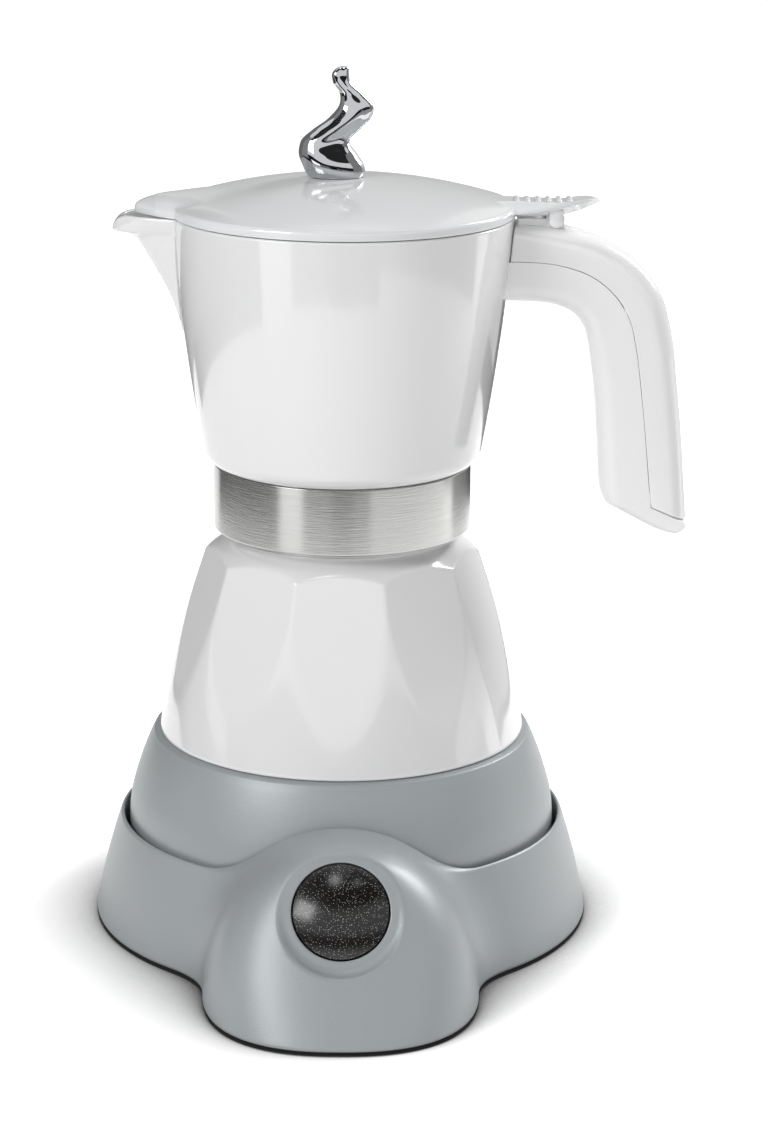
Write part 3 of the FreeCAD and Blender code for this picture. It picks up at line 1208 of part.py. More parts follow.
KNOB_STATIONS = [
    # share of the height, sideways place, half-width
    (0.0, -2.0, 7.9), (0.10, -2.8, 8.8), (0.21, -4.4, 8.3), (0.316, -5.2, 6.9), (0.426, -2.0, 6.8),
    (0.535, 1.8, 6.1), (0.645, 3.5, 4.9), (0.755, 2.1, 3.25), (0.865, -0.6, 2.5), (0.945, -0.8, 2.3),
    (0.985, -0.2, 1.6), (1.0, 0.1, 0.9)]
KNOB_BOTTOM = d.lid_crown + 0.05
ovals = []
for number, (share, sway, half) in enumerate(KNOB_STATIONS):
    oval = DOC.addObject("Part::Ellipse", "knob_oval%d" % number)
    bind(oval, "MajorRadius", half)
    bind(oval, "MinorRadius", half * d.knob_depth_share)
    place(oval, (sway, 0, KNOB_BOTTOM + d.knob_height * share))
    ovals.append(oval)
knob_loft = DOC.addObject("Part::Loft", "knob_loft")
knob_loft.Sections = ovals
knob_loft.Solid = True
knob_bore = cylinder("knob_bore", d.screw_radius + 0.05, 7, (0, 0, KNOB_BOTTOM - 1))
node("knob", cut("knob", knob_loft, knob_bore))
node("knob_screw", turned(
    "knob_screw", (0, d.lid_crown - d.lid_thickness - 1.9), (3.4, d.lid_crown - d.lid_thickness - 1.9),
    (3.4, d.lid_crown - d.lid_thickness - 0.1), (d.screw_radius, d.lid_crown - d.lid_thickness - 0.1),
    (d.screw_radius, KNOB_BOTTOM + 5), (0, KNOB_BOTTOM + 5.5)))

# Build, check and write


def check():
    """Stops on any feature that failed, and on any sub-part that isn't a sound solid."""
    failed = [thing.Name for thing in DOC.Objects
              if "Invalid" in thing.State or "Error" in thing.State]
    if failed:
        raise RuntimeError("failed features: " + ", ".join(failed))
    for name, thing in NODES.items():
        if thing.Shape.isNull() or not thing.Shape.isValid() or not thing.Shape.Solids:
            raise RuntimeError("unsound sub-part: " + name)


def write():
    os.makedirs("parts", exist_ok=True)
    for name, thing in NODES.items():
        thing.Shape.exportStep(os.path.join("parts", name + ".step"))
        print("%-22s %2d solids %10.1f mm3" % (name, len(thing.Shape.Solids), thing.Shape.Volume))


DOC.recompute()
check()
write()
print(len(NODES), "sub-parts")
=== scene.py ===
"""Looks of an electric moka pot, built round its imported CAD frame. Shapes are worked out in
millimetres on the pot's axis and turned to metres when a mesh is made."""

import math

import bpy
import numpy as np
from mathutils import Matrix, Vector


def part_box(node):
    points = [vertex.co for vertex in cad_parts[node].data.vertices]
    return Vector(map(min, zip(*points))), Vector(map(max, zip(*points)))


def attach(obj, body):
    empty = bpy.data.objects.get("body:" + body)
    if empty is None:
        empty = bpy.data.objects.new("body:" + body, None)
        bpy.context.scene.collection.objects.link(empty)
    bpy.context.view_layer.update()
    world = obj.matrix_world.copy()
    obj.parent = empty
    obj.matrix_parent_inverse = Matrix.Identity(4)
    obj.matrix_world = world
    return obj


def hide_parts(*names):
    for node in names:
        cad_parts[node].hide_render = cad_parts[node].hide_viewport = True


bl_info = {
    "name": "Electric moka pot",
    "version": (1, 0, 0),
    "blender": (4, 5, 0),
    "location": "3D View > Sidebar > Moka pot",
    "description": "Builds the pot, its power base and a pale studio round the packed frame",
    "category": "Object",
}

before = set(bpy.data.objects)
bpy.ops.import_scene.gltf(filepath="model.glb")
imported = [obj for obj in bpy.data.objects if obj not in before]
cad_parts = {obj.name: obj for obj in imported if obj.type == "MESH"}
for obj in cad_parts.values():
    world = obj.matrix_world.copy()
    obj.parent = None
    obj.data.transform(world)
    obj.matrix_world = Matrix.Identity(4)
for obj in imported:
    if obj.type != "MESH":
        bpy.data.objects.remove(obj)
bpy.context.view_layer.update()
MILLIMETRE = 0.001
TURN_STEPS = 20001  # even bearings in a full turn, from which unevenly spaced ones are read


def edge(node, axis, side=1):
    """Where a CAD node ends along an axis, in metres: side 1 is its far end and 0 its near end."""
    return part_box(node)[side][axis]


def linear(text):
    """An sRGB hex colour as linear red, green and blue: the sRGB curve undone channel by channel."""
    parts = np.array([int(text[i : i + 2], 16) for i in (0, 2, 4)]) / 255
    return tuple(np.where(parts <= 0.04045, parts / 12.92, ((parts + 0.055) / 1.055) ** 2.4))


def length(name, about, default):
    """A length in metres that a user may change."""
    return bpy.props.FloatProperty(name=name, description=about, default=default, min=0.0001,
                                   max=1.0, precision=5, unit="LENGTH")


def colour(name, about, text):
    """A colour that a user may change, from its hex value."""
    return bpy.props.FloatVectorProperty(name=name, description=about, default=linear(text),
                                         size=3, min=0.0, max=1.0, subtype="COLOR")


class PotSizes(bpy.types.PropertyGroup):
    """Lengths that a user would change, in metres."""

    base_radius: length("Base radius", "Foot of the power base's ring", edge("base_shell", 0))
    base_lip: length("Base lip", "Height of the lip round the well", 0.0315)
    well_radius: length("Well radius", "Bore that the pot stands in", 0.0643)
    nose_height: length("Nose height", "Top of the hood over the button",
                        edge("base_shell", 2))
    nose_reach: length("Nose reach", "Front of the nose at table height", 0.1129)
    nose_half: length("Nose half width", "Half the nose's width at table height", 0.0386)
    nose_blend: length("Nose blend", "Reach of the hollow between ring and nose", 0.0105)
    button_radius: length("Button radius", "Dome of the push button", 0.0131)
    skirt_radius: length("Skirt radius", "Widest part of the heater skirt",
                         edge("heater_skirt", 0))
    neck_radius: length("Neck radius", "Crest of the boiler's thread", 0.0327)
    thread_pitch: length("Thread pitch", "Rise of the thread for one turn", 0.003)
    band_radius: length("Band radius", "Steel band round the collar", edge("steel_band", 0))
    rim_radius: length("Jug rim radius", "Outside of the jug at its rim", 0.0488)
    rim_height: length("Jug rim height", "Top of the jug", 0.2088)
    handle_width: length("Handle width", "Handle across the pot", 0.018)
    lid_crown: length("Lid crown", "Top of the lid's dome", 0.2194)
    lever_reach: length("Lever reach", "Tip of the thumb lever", edge("lid", 0))
    knob_height: length("Knob height", "The cast wisp on the lid", 0.031)
    facets: bpy.props.IntProperty(name="Facets", description="Flats round the boiler's shoulder",
                                  default=10, min=3, max=24)


class PotColours(bpy.types.PropertyGroup):
    """Colours that a user would change."""

    grey: colour("Grey plastic", "Base, skirt and nose", "A3A8AA")
    enamel: colour("White lacquer", "Boiler and jug", "ECECED")
    white: colour("White plastic", "Lid and lever", "E9EAEB")
    pale: colour("Handle plastic", "Handle and its cover", "F6F6F6")
    steel: colour("Steel", "Band round the collar", "BDBDBB")
    chrome: colour("Chrome", "Knob", "C2C4C7")
    aluminium: colour("Aluminium", "Neck, inside and collar", "BFC0C0")
    smoke: colour("Smoked lens", "Push button", "141211")
    backdrop: colour("Backdrop", "Floor and background", "F4F4F4")


def sizes():
    """The sizes in millimetres, by name."""
    group = bpy.context.scene.pot_sizes
    names = [n for n in group.bl_rna.properties.keys() if n not in ("rna_type", "name", "facets")]
    return {n: getattr(group, n) * 1000 for n in names}


# Shapes


def smooth_max(a, b, reach):
    """The larger of two values, with the corner where they cross filled in over a reach."""
    share = np.clip(0.5 + 0.5 * (a - b) / reach, 0, 1)
    return b + (a - b) * share + reach * share * (1 - share)


def smooth_min(a, b, reach):
    """The smaller of two values, with the corner where they cross cut off over a reach."""
    return -smooth_max(-a, -b, reach)


def step(value, low, high):
    """Zero below low, one above high, and an S between: 3t^2 - 2t^3."""
    t = np.clip((value - low) / (high - low), 0, 1)
    return t * t * (3 - 2 * t)


def edge_distance(inside, low, high, turns=34):
    """Where a value along a ray turns from positive to negative, by halving the gap."""
    for _ in range(turns):
        middle = (low + high) / 2
        within = inside(middle) > 0
        low, high = np.where(within, middle, low), np.where(within, high, middle)
    return (low + high) / 2


def flowing(points, count):
    """A smooth curve through points, evenly spaced along its chords: cubic runs whose slope at
    each point is that of a parabola through it and its two neighbours."""
    p = np.asarray(points, float)
    chord = np.concatenate([[0], np.cumsum(np.linalg.norm(np.diff(p, axis=0), axis=1))])
    slope = np.gradient(p, chord, axis=0, edge_order=2)
    t = np.linspace(0, chord[-1], count)
    i = np.clip(np.searchsorted(chord, t, side="right") - 1, 0, len(p) - 2)
    gap = (chord[i + 1] - chord[i])[:, None]
    x = (t - chord[i])[:, None] / gap
    return ((2 * x**3 - 3 * x**2 + 1) * p[i] + (x**3 - 2 * x**2 + x) * gap * slope[i]
            + (3 * x**2 - 2 * x**3) * p[i + 1] + (x**3 - x**2) * gap * slope[i + 1])


def rounded(points, radii, closed=True, steps=5):
    """A chain of straight runs whose corners are arcs that touch both runs. One more point
    beside each arc keeps the flats flat."""
    points = np.asarray(points, float)
    radii = np.broadcast_to(np.asarray(radii, float), len(points))
    path = []
    for i, (corner, radius) in enumerate(zip(points, radii)):
        to_last = points[i - 1] - corner
        to_next = points[(i + 1) % len(points)] - corner
        back, ahead = np.linalg.norm(to_last), np.linalg.norm(to_next)
        if radius <= 0 or (not closed and i in (0, len(points) - 1)):
            path.append(corner[None])
            continue
        to_last, to_next = to_last / back, to_next / ahead
        half = math.acos(float(np.clip(to_last @ to_next, -1, 1))) / 2
        if half > 1.5:
            path.append(corner[None])
            continue
        reach = min(radius / math.tan(half), back * 0.45, ahead * 0.45)
        radius = reach * math.tan(half)
        middle = to_last + to_next
        middle = corner + middle / np.linalg.norm(middle) * radius / math.sin(half)
        first, last = corner + to_last * reach - middle, corner + to_next * reach - middle
        turn = math.pi - 2 * half
        t = np.linspace(0, 1, steps + 1)[:, None]
        arc = middle + (np.sin((1 - t) * turn) * first + np.sin(t * turn) * last) / math.sin(turn)
        hold = min(0.35, back * 0.05, ahead * 0.05) + 0.01
        path += [(arc[0] + to_last * hold)[None], arc, (arc[-1] + to_next * hold)[None]]
    return np.concatenate(path)


def arc_radius(height, low, middle, high):
    """Radius at a height on the circle through three (radius, height) points."""
    (ax, ay), (bx, by), (cx, cy) = low, middle, high
    d = 2 * (ax * (by - cy) + bx * (cy - ay) + cx * (ay - by))
    ux = ((ax**2 + ay**2) * (by - cy) + (bx**2 + by**2) * (cy - ay) + (cx**2 + cy**2) * (ay - by)) / d
    uy = ((ax**2 + ay**2) * (cx - bx) + (bx**2 + by**2) * (ax - cx) + (cx**2 + cy**2) * (bx - ax)) / d
    ball = math.hypot(ax - ux, ay - uy)
    side = 1 if bx > ux else -1
    return ux + side * np.sqrt(np.maximum(ball**2 - (height - uy) ** 2, 0))


def cap_height(out, radius, low, high):
    """Height at a distance out on the ball cap that rises from a rim to the axis."""
    rise = high - low
    ball = (radius**2 + rise**2) / (2 * rise)
    return high - ball + np.sqrt(np.maximum(ball**2 - out**2, 0))


def even(points, count, weight):
    """Rows spaced evenly along each column's path, where a weight above one packs them closer."""
    gap = np.linalg.norm(np.diff(points, axis=0), axis=2) * (weight[1:] + weight[:-1]) / 2
    run = np.concatenate([np.zeros((1, gap.shape[1])), np.cumsum(gap, axis=0)])
    out = np.empty((count, points.shape[1], 2))
    for column in range(points.shape[1]):
        at = np.linspace(0, run[-1, column], count)
        for axis in (0, 1):
            out[:, column, axis] = np.interp(at, run[:, column], points[:, column, axis])
    return out


def stacked(*arrays):
    """Arrays stretched to one shape and stacked as coordinates."""
    return np.stack(np.broadcast_arrays(*arrays), -1)


def round_axis(radius, height, angle):
    """Points round the pot's axis, for a radius and height at each row and angle."""
    return stacked(radius * np.cos(angle), radius * np.sin(angle), height)


def full_turn(columns):
    """Even bearings round an axis."""
    return np.linspace(0, 2 * math.pi, columns, endpoint=False)


def packed_turn(columns, at, width, more, power=2):
    """Bearings round the pot that a bell curve about one of them packs closer."""
    turn = np.linspace(0, 2 * math.pi, TURN_STEPS)
    busy = 1 + more * np.exp(-((turn - at) / width) ** power)
    run = np.concatenate([[0], np.cumsum(busy[1:])])
    return np.interp(np.linspace(0, run[-1], columns, endpoint=False), run, turn)


def turned(profile, columns):
    """A profile of (radius, height) points carried round the axis in even steps."""
    return round_axis(profile[:, :1], profile[:, 1:], full_turn(columns))


def all_round(profile, columns):
    """The same (radius, height) profile at every column."""
    return np.broadcast_to(profile[:, None], (len(profile), columns, 2))


def quads(index, around=True, closed=True):
    """Four-sided faces between neighbouring rows and columns of a grid of vertex numbers."""
    right, up = np.roll(index, -1, 1), np.roll(index, -1, 0)
    faces = np.stack([index, right, np.roll(right, -1, 0), up], -1)
    faces = faces if closed else faces[:-1]
    faces = faces if around else faces[:, :-1]
    return faces.reshape(-1, 4)


def grid(points, around=True, closed=True, choice=None):
    """A grid of points as (vertices, faces, finish of each face). A first or last row that
    lies in one point becomes a single vertex."""
    rows, columns = points.shape[:2]
    index = np.arange(rows * columns).reshape(rows, columns)
    for row in (0, -1):
        if not closed and np.ptp(points[row], axis=0).max() < 1e-6:
            index[row] = index[row, 0]
    faces = quads(index, around, closed)
    rows_left = rows if closed else rows - 1
    picks = np.zeros(rows_left, int) if choice is None else np.asarray(choice)[:rows_left]
    return points.reshape(-1, 3), faces, np.repeat(picks, len(faces) // rows_left)


def joined(*parts):
    """Several (vertices, faces, finishes) as one."""
    starts = np.cumsum([0] + [len(v) for v, _, _ in parts[:-1]])
    return (np.concatenate([v for v, _, _ in parts]),
            np.concatenate([f + s for (_, f, _), s in zip(parts, starts)]),
            np.concatenate([c for _, _, c in parts]))


def capped(points):
    """A tube of rings whose two ends are closed to their middle points."""
    ends = [np.broadcast_to(points[row].mean(0), points[row].shape)[None] for row in (0, -1)]
    return grid(np.concatenate([ends[0], points, ends[1]]), closed=False)


def eye(outline, middle, across, size):
    """An outline in the XZ plane carried across the pot in steps, each drawn to a share of its
    size about a middle point."""
    spread = middle + (outline - middle) * np.array(size)[:, None, None]
    return grid(stacked(spread[..., 0], across[:, None], spread[..., 1]), closed=False)


def piece(name, body, slot, finishes, surface, *nodes):
    """Makes a mesh in metres from a surface in millimetres, turns its faces outwards if its
    volume comes out negative, and sets it on its CAD body."""
    points, faces, picks = surface
    used, faces = np.unique(faces, return_inverse=True)
    points, faces = points[used] * MILLIMETRE, faces.reshape(-1, 4)
    a, b, c, d = (points[faces[:, i]] for i in range(4))
    six_volumes = np.einsum("ij,ij->", a, np.cross(b, c)) + np.einsum("ij,ij->", a, np.cross(c, d))
    if six_volumes < 0:
        faces = faces[:, ::-1]
    twice = faces == np.roll(faces, -1, 1)
    thin = twice.any(1)
    threes = faces[thin][~twice[thin]].reshape(-1, 3)
    mesh = bpy.data.meshes.new(name)
    mesh.from_pydata(points.tolist(), [], faces[~thin].tolist() + threes.tolist())
    mesh.polygons.foreach_set("material_index", np.concatenate([picks[~thin], picks[thin]]))
    mesh.shade_smooth()
    for finish in finishes:
        mesh.materials.append(finish)
    made = bpy.data.objects.new(name, mesh)
    bpy.context.scene.collection.objects.link(made)
    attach(made, body)
    if nodes:
        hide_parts(*nodes)
    return made


# Finishes


def add(tree, kind, links=None, **settings):
    """Adds a node, sets its settings, and sets or links its inputs."""
    node = tree.nodes.new(kind)
    for name, value in settings.items():
        setattr(node, name, value)
    for key, value in (links or {}).items():
        if isinstance(value, bpy.types.NodeSocket):
            tree.links.new(value, node.inputs[key])
        else:
            node.inputs[key].default_value = value
    return node


def emptied(data):
    """The node tree of a new material or world, with nothing in it."""
    data.use_nodes = True
    data.node_tree.nodes.clear()
    return data.node_tree


def tones():
    """The chosen colours by name."""
    group = bpy.context.scene.pot_colours
    names = [n for n in group.bl_rna.properties.keys() if n not in ("rna_type", "name")]
    return {n: tuple(getattr(group, n)) for n in names}


def finish(name, tone, fade=0.94, blotch=20.0, grain=0.0, depth=0.0, stretch=None, **surface):
    """A material on Object coordinates, in a chosen colour or a hex one. The colour drifts down
    to its share fade over blotch millimetres, and grain millimetres wide bumps rise by depth
    millimetres."""
    known = bpy.data.materials.get(name)
    if known:
        return known
    material = bpy.data.materials.new(name)
    tree = emptied(material)
    place = add(tree, "ShaderNodeTexCoord").outputs["Object"]
    shader = add(tree, "ShaderNodeBsdfPrincipled", {k.replace("_", " "): v for k, v in surface.items()})
    add(tree, "ShaderNodeOutputMaterial", {"Surface": shader.outputs[0]})
    if stretch:
        place = add(tree, "ShaderNodeMapping", {"Vector": place, "Scale": stretch}).outputs[0]
    base = tones().get(tone) or linear(tone)
    second = tuple(x * fade for x in base)
    drift = add(tree, "ShaderNodeTexNoise",
                {"Vector": place, "Scale": 1 / (blotch * MILLIMETRE), "Detail": 2.0})
    tone = add(tree, "ShaderNodeMix", {0: drift.outputs[0], 6: (*base, 1), 7: (*second, 1)},
               data_type="RGBA")
    tree.links.new(tone.outputs[2], shader.inputs["Base Color"])
    if grain:
        bumps = add(tree, "ShaderNodeTexNoise", {"Vector": place, "Scale": 1 / (grain * MILLIMETRE),
                                                 "Detail": 2.0, "Roughness": 0.6})
        bump = add(tree, "ShaderNodeBump", {"Height": bumps.outputs[0], "Strength": 1.0,
                                            "Distance": depth * MILLIMETRE})
        tree.links.new(bump.outputs[0], shader.inputs["Normal"])
    return material


def grey_abs():
    # ABS moulded against a spark-eroded tool: an even matt grey that sparkles finely. Its
    # real grain is 0.2 mm, drawn at 0.5 mm so that it shows.
    return finish("spark_textured_grey_abs", "grey", blotch=60, grain=0.5, depth=0.05,
                  Roughness=0.38, IOR=1.53, Metallic=0.12)


def white_lacquer():
    # Baked white lacquer on cast aluminium: sharp reflections that waver over a few millimetres.
    return finish("baked_white_lacquer", "enamel", fade=0.985, blotch=90, grain=6.0, depth=0.008,
                  Roughness=0.12, IOR=1.5, Coat_Weight=0.6, Coat_Roughness=0.04)


def polished_abs(name, tone, rough):
    # ABS from a polished tool: glossy, a little softer than the lacquer, with faint flow ripples.
    return finish(name, tone, fade=0.985, blotch=70, grain=9.0, depth=0.008, Roughness=rough,
                  IOR=1.54, Coat_Weight=0.35, Coat_Roughness=0.06)


def white_abs():
    # The lid's white, a shade greyer than the lacquer.
    return polished_abs("polished_white_abs", "white", 0.16)


def cover_abs():
    # The handle's cover is a purer white than the lid, and its lights are a little wider.
    return polished_abs("polished_handle_abs", "pale", 0.18)


def satin_abs():
    # The handle's inner half is moulded against a finely blasted tool: white with soft lights.
    return finish("satin_white_abs", "pale", fade=0.98, blotch=70, grain=0.9, depth=0.01,
                  Roughness=0.36, IOR=1.54)


def brushed_steel():
    # Stainless strip brushed along its length: fine lines run round the band, so lights are
    # drawn out up and down. The lines are 0.1 mm wide, drawn at 0.35 mm.
    return finish("brushed_stainless_steel", "steel", fade=0.8, blotch=18, grain=7.0, depth=0.01,
                  stretch=(1, 1, 20), Metallic=1.0, Roughness=0.2)


def chrome():
    # Zinc casting polished and chrome plated: near-mirror, faintly wavy from the casting.
    return finish("chrome_plated_zinc", "chrome", fade=1.0, blotch=30, grain=8.0, depth=0.02,
                  Metallic=1.0, Roughness=0.035)


def cast_aluminium():
    # Machined and bead-blasted casting: soft grey shine with a fine grain.
    return finish("blasted_cast_aluminium", "aluminium", blotch=12, grain=0.8, depth=0.02,
                  Metallic=1.0, Roughness=0.38)


def smoked_lens():
    # Smoked acrylic dome: nearly black with soft lights, with white specks of 0.15 mm
    # half a millimetre apart painted into its colour as glints.
    material = finish("smoked_acrylic", "smoke", blotch=25, Roughness=0.2, IOR=1.49)
    tree = material.node_tree
    if "flecks" not in tree.nodes:
        # Painted glints: white specks mixed into the lens's base colour stand in for sparkles that
        # catch the light.
        place = add(tree, "ShaderNodeTexCoord").outputs["Object"]
        cells = add(tree, "ShaderNodeTexVoronoi", {"Vector": place, "Scale": 1 / (0.5 * MILLIMETRE)})
        cells.name = "flecks"
        glint_spot = add(tree, "ShaderNodeMapRange", {0: cells.outputs["Distance"], 1: 0.14, 2: 0.26,
                                                 3: 0.5, 4: 0.0})
        shader = next(n for n in tree.nodes if n.type == "BSDF_PRINCIPLED")
        old = shader.inputs["Base Color"].links[0].from_socket
        tone = add(tree, "ShaderNodeMix", {0: glint_spot.outputs[0], 6: old, 7: (0.8, 0.8, 0.78, 1)},
                   data_type="RGBA")
        tree.links.new(tone.outputs[2], shader.inputs["Base Color"])
    return material


def plain(name, text, rough, metal=0.0, grain=0.8, depth=0.02, blotch=15, **more):
    """A simple moulded, drawn or turned material for a fitting."""
    return finish(name, text, blotch=blotch, grain=grain, depth=depth, Roughness=rough,
                  Metallic=metal, **more)


def fittings_finishes():
    """The finish of each CAD node that keeps its own mesh."""
    nylon = plain("moulded_black_nylon", "26272A", 0.45)
    zinc = plain("zinc_plated_steel", "C3C6C8", 0.3, 1.0, grain=0.5, depth=0.01)
    cover = plain("moulded_dark_grey_abs", "6C7073", 0.55, grain=0.9, depth=0.04)
    rubber = plain("black_rubber", "1D1D1E", 0.8, grain=1.2, depth=0.05)
    brass = plain("turned_brass", "C9A860", 0.25, 1.0, grain=0.4, depth=0.008)
    silicone = plain("translucent_silicone", "D8DAD4", 0.45, Subsurface_Weight=0.2)
    drawn = plain("drawn_aluminium", "C8C9C9", 0.3, 1.0, grain=3.0, depth=0.02)
    return {
        "base_bottom_cover": cover, "rubber_feet": rubber, "base_screws": zinc,
        "base_socket": nylon, "socket_contacts": plain("plated_contact_brass", "BFA46A", 0.3, 1.0),
        "cord_gland": plain("soft_grey_pvc", "8E9494", 0.6),
        "button_carrier": nylon, "switch_body": nylon,
        "indicator_lamps": plain("amber_polycarbonate", "D98A2B", 0.2, Emission_Strength=0.4,
                                 Emission_Color=(1.0, 0.35, 0.08, 1)),
        "switch_bracket": zinc, "skirt_bottom_plate": cover, "skirt_screws": zinc,
        "pot_connector": nylon, "connector_pins": brass, "heat_plate": drawn,
        "heating_element": plain("sheathed_element_steel", "6E6A66", 0.42, 1.0),
        "thermostat": brass, "thermal_fuse": plain("glazed_ceramic", "E2DFD6", 0.3),
        "safety_valve_body": brass, "valve_stem": zinc, "coffee_funnel": drawn,
        "funnel_sieve": drawn, "gasket": silicone, "filter_plate": drawn,
        "threaded_collar": cast_aluminium(), "riser_column": cast_aluminium(),
        "column_seal": rubber, "riser_cap": plain("moulded_white_nylon", "E8E8E6", 0.4),
        "hinge_pin": zinc, "knob_screw": zinc,
    }


# Power base


# Millimetres, and the angle by which the button's axis points up from level.
TILT = math.radians(31.5)
BUTTON_AT = np.array([0.0, -90.0, 32.8])
SIDEWAYS = np.array([1.0, 0.0, 0.0])
OUTWARD = np.array([0.0, -math.cos(TILT), math.sin(TILT)])
UPWARD = np.array([0.0, math.sin(TILT), math.cos(TILT)])
FRONT = 1.5 * math.pi
BASE_FOOT, FLOOR_TOP, FLOOR_UNDER, WALL = 1.0, 15.0, 12.6, 2.4
HUB = 14.1  # the floor's outline is traced from this radius outwards
LEDGE, SLEEVE = 17.5, -5.6  # radius and depth of the collar behind the button's hole


def on_button(across, up, out):
    """Points in the push button's own axes: across, up its tilted face, and out of it."""
    across, up, out = np.broadcast_arrays(across, up, out)
    return (BUTTON_AT + across[..., None] * SIDEWAYS + up[..., None] * UPWARD
            + out[..., None] * OUTWARD)


def round_button(radius, out, bearing):
    """Points round the push button's axis."""
    return on_button(radius * np.cos(bearing), radius * np.sin(bearing), out)


def base_body(points, s):
    """Depth inside the base without its well. The ring's radius falls as a parabola to the
    lip. The nose is half an ellipse from the front and a superellipse from above, and its
    front leans back to a rounded shoulder. The two are joined by a smooth larger-of."""
    x, y, z = points[..., 0], points[..., 1], points[..., 2]
    out = np.hypot(x, y)
    rise = z - BASE_FOOT
    steep, draw, high = 0.174, 7.1, 28.3
    bend = (draw - steep * high) / high**2
    ring = smooth_min(s["base_radius"] - steep * rise - bend * rise**2 - out, s["base_lip"] - z, 1.4)
    tall, shoulder = s["nose_height"], 14.0
    half = s["nose_half"] * np.sqrt(np.clip(1 - (z / tall) ** 2, 1e-5, 1))
    foot, lean, turn = -s["nose_reach"], math.tan(TILT), math.pi / 2 - TILT
    drop = np.clip(tall - z, 0, None)
    start = foot + lean * tall + shoulder * math.tan(turn / 2)
    round_part = start - np.sqrt(np.clip(shoulder**2 - (shoulder - drop) ** 2, 0, None))
    front = np.where(drop < shoulder * (1 - math.cos(turn)), round_part, foot + lean * z)
    side = -70.0 - 0.3 * np.clip(z - 40.0, 0, None)
    power = 2.4 + 0.012 * np.clip(z, 0, None)
    across = np.abs(x) / half
    ahead = np.clip(side - y, 0, None) / np.maximum(side - front, 0.1)
    nose = np.minimum((1 - (across**power + ahead**power) ** (1 / power)) * half, tall - z)
    back = -36.0
    return smooth_max(ring, np.minimum(nose, back - y), s["nose_blend"])


def base_outside(points, s):
    """Depth inside the base with its well and the dish round the button cut out. The dish is
    flat round the button and then flares as a power curve."""
    body = base_body(points, s)
    out = np.hypot(points[..., 0], points[..., 1])
    well = smooth_max(out - s["well_radius"], FLOOR_TOP - points[..., 2], 1.0)
    away = points - BUTTON_AT
    depth = away @ OUTWARD
    flat, width, rise, power = s["button_radius"] + 2.2, 3.7, 2.6, 2.2
    beyond = np.clip(np.hypot(away[..., 0], away @ UPWARD) - flat, 0, None)
    dish = np.where(depth > -6, rise * (beyond / width) ** power - depth, 20.0)
    return smooth_min(smooth_min(body, well, 0.9), dish, 1.0)


def base_room(points, s):
    """Depth inside the hollow under the floor and inside the nose."""
    out = np.hypot(points[..., 0], points[..., 1])
    room = smooth_max(FLOOR_UNDER - points[..., 2], out - s["well_radius"] - WALL, 0.8)
    return smooth_min(base_body(points, s) - WALL, room, 0.8)


def traced(inside, s, centre, first, last, angle):
    """The outline of a body in each half plane through the pot's axis: rays leave a centre at
    evenly spaced slopes and stop at the body's edge."""
    share = np.linspace(0, 1, 560)[:, None]
    slope, around = np.broadcast_arrays(first + (last - first) * share, angle[None])

    def ray(t):
        return centre[0] + t * np.cos(slope), centre[1] + t * np.sin(slope)

    t = edge_distance(lambda t: inside(round_axis(*ray(t), around), s), 0.0, 90.0)
    return np.stack(ray(t), -1)


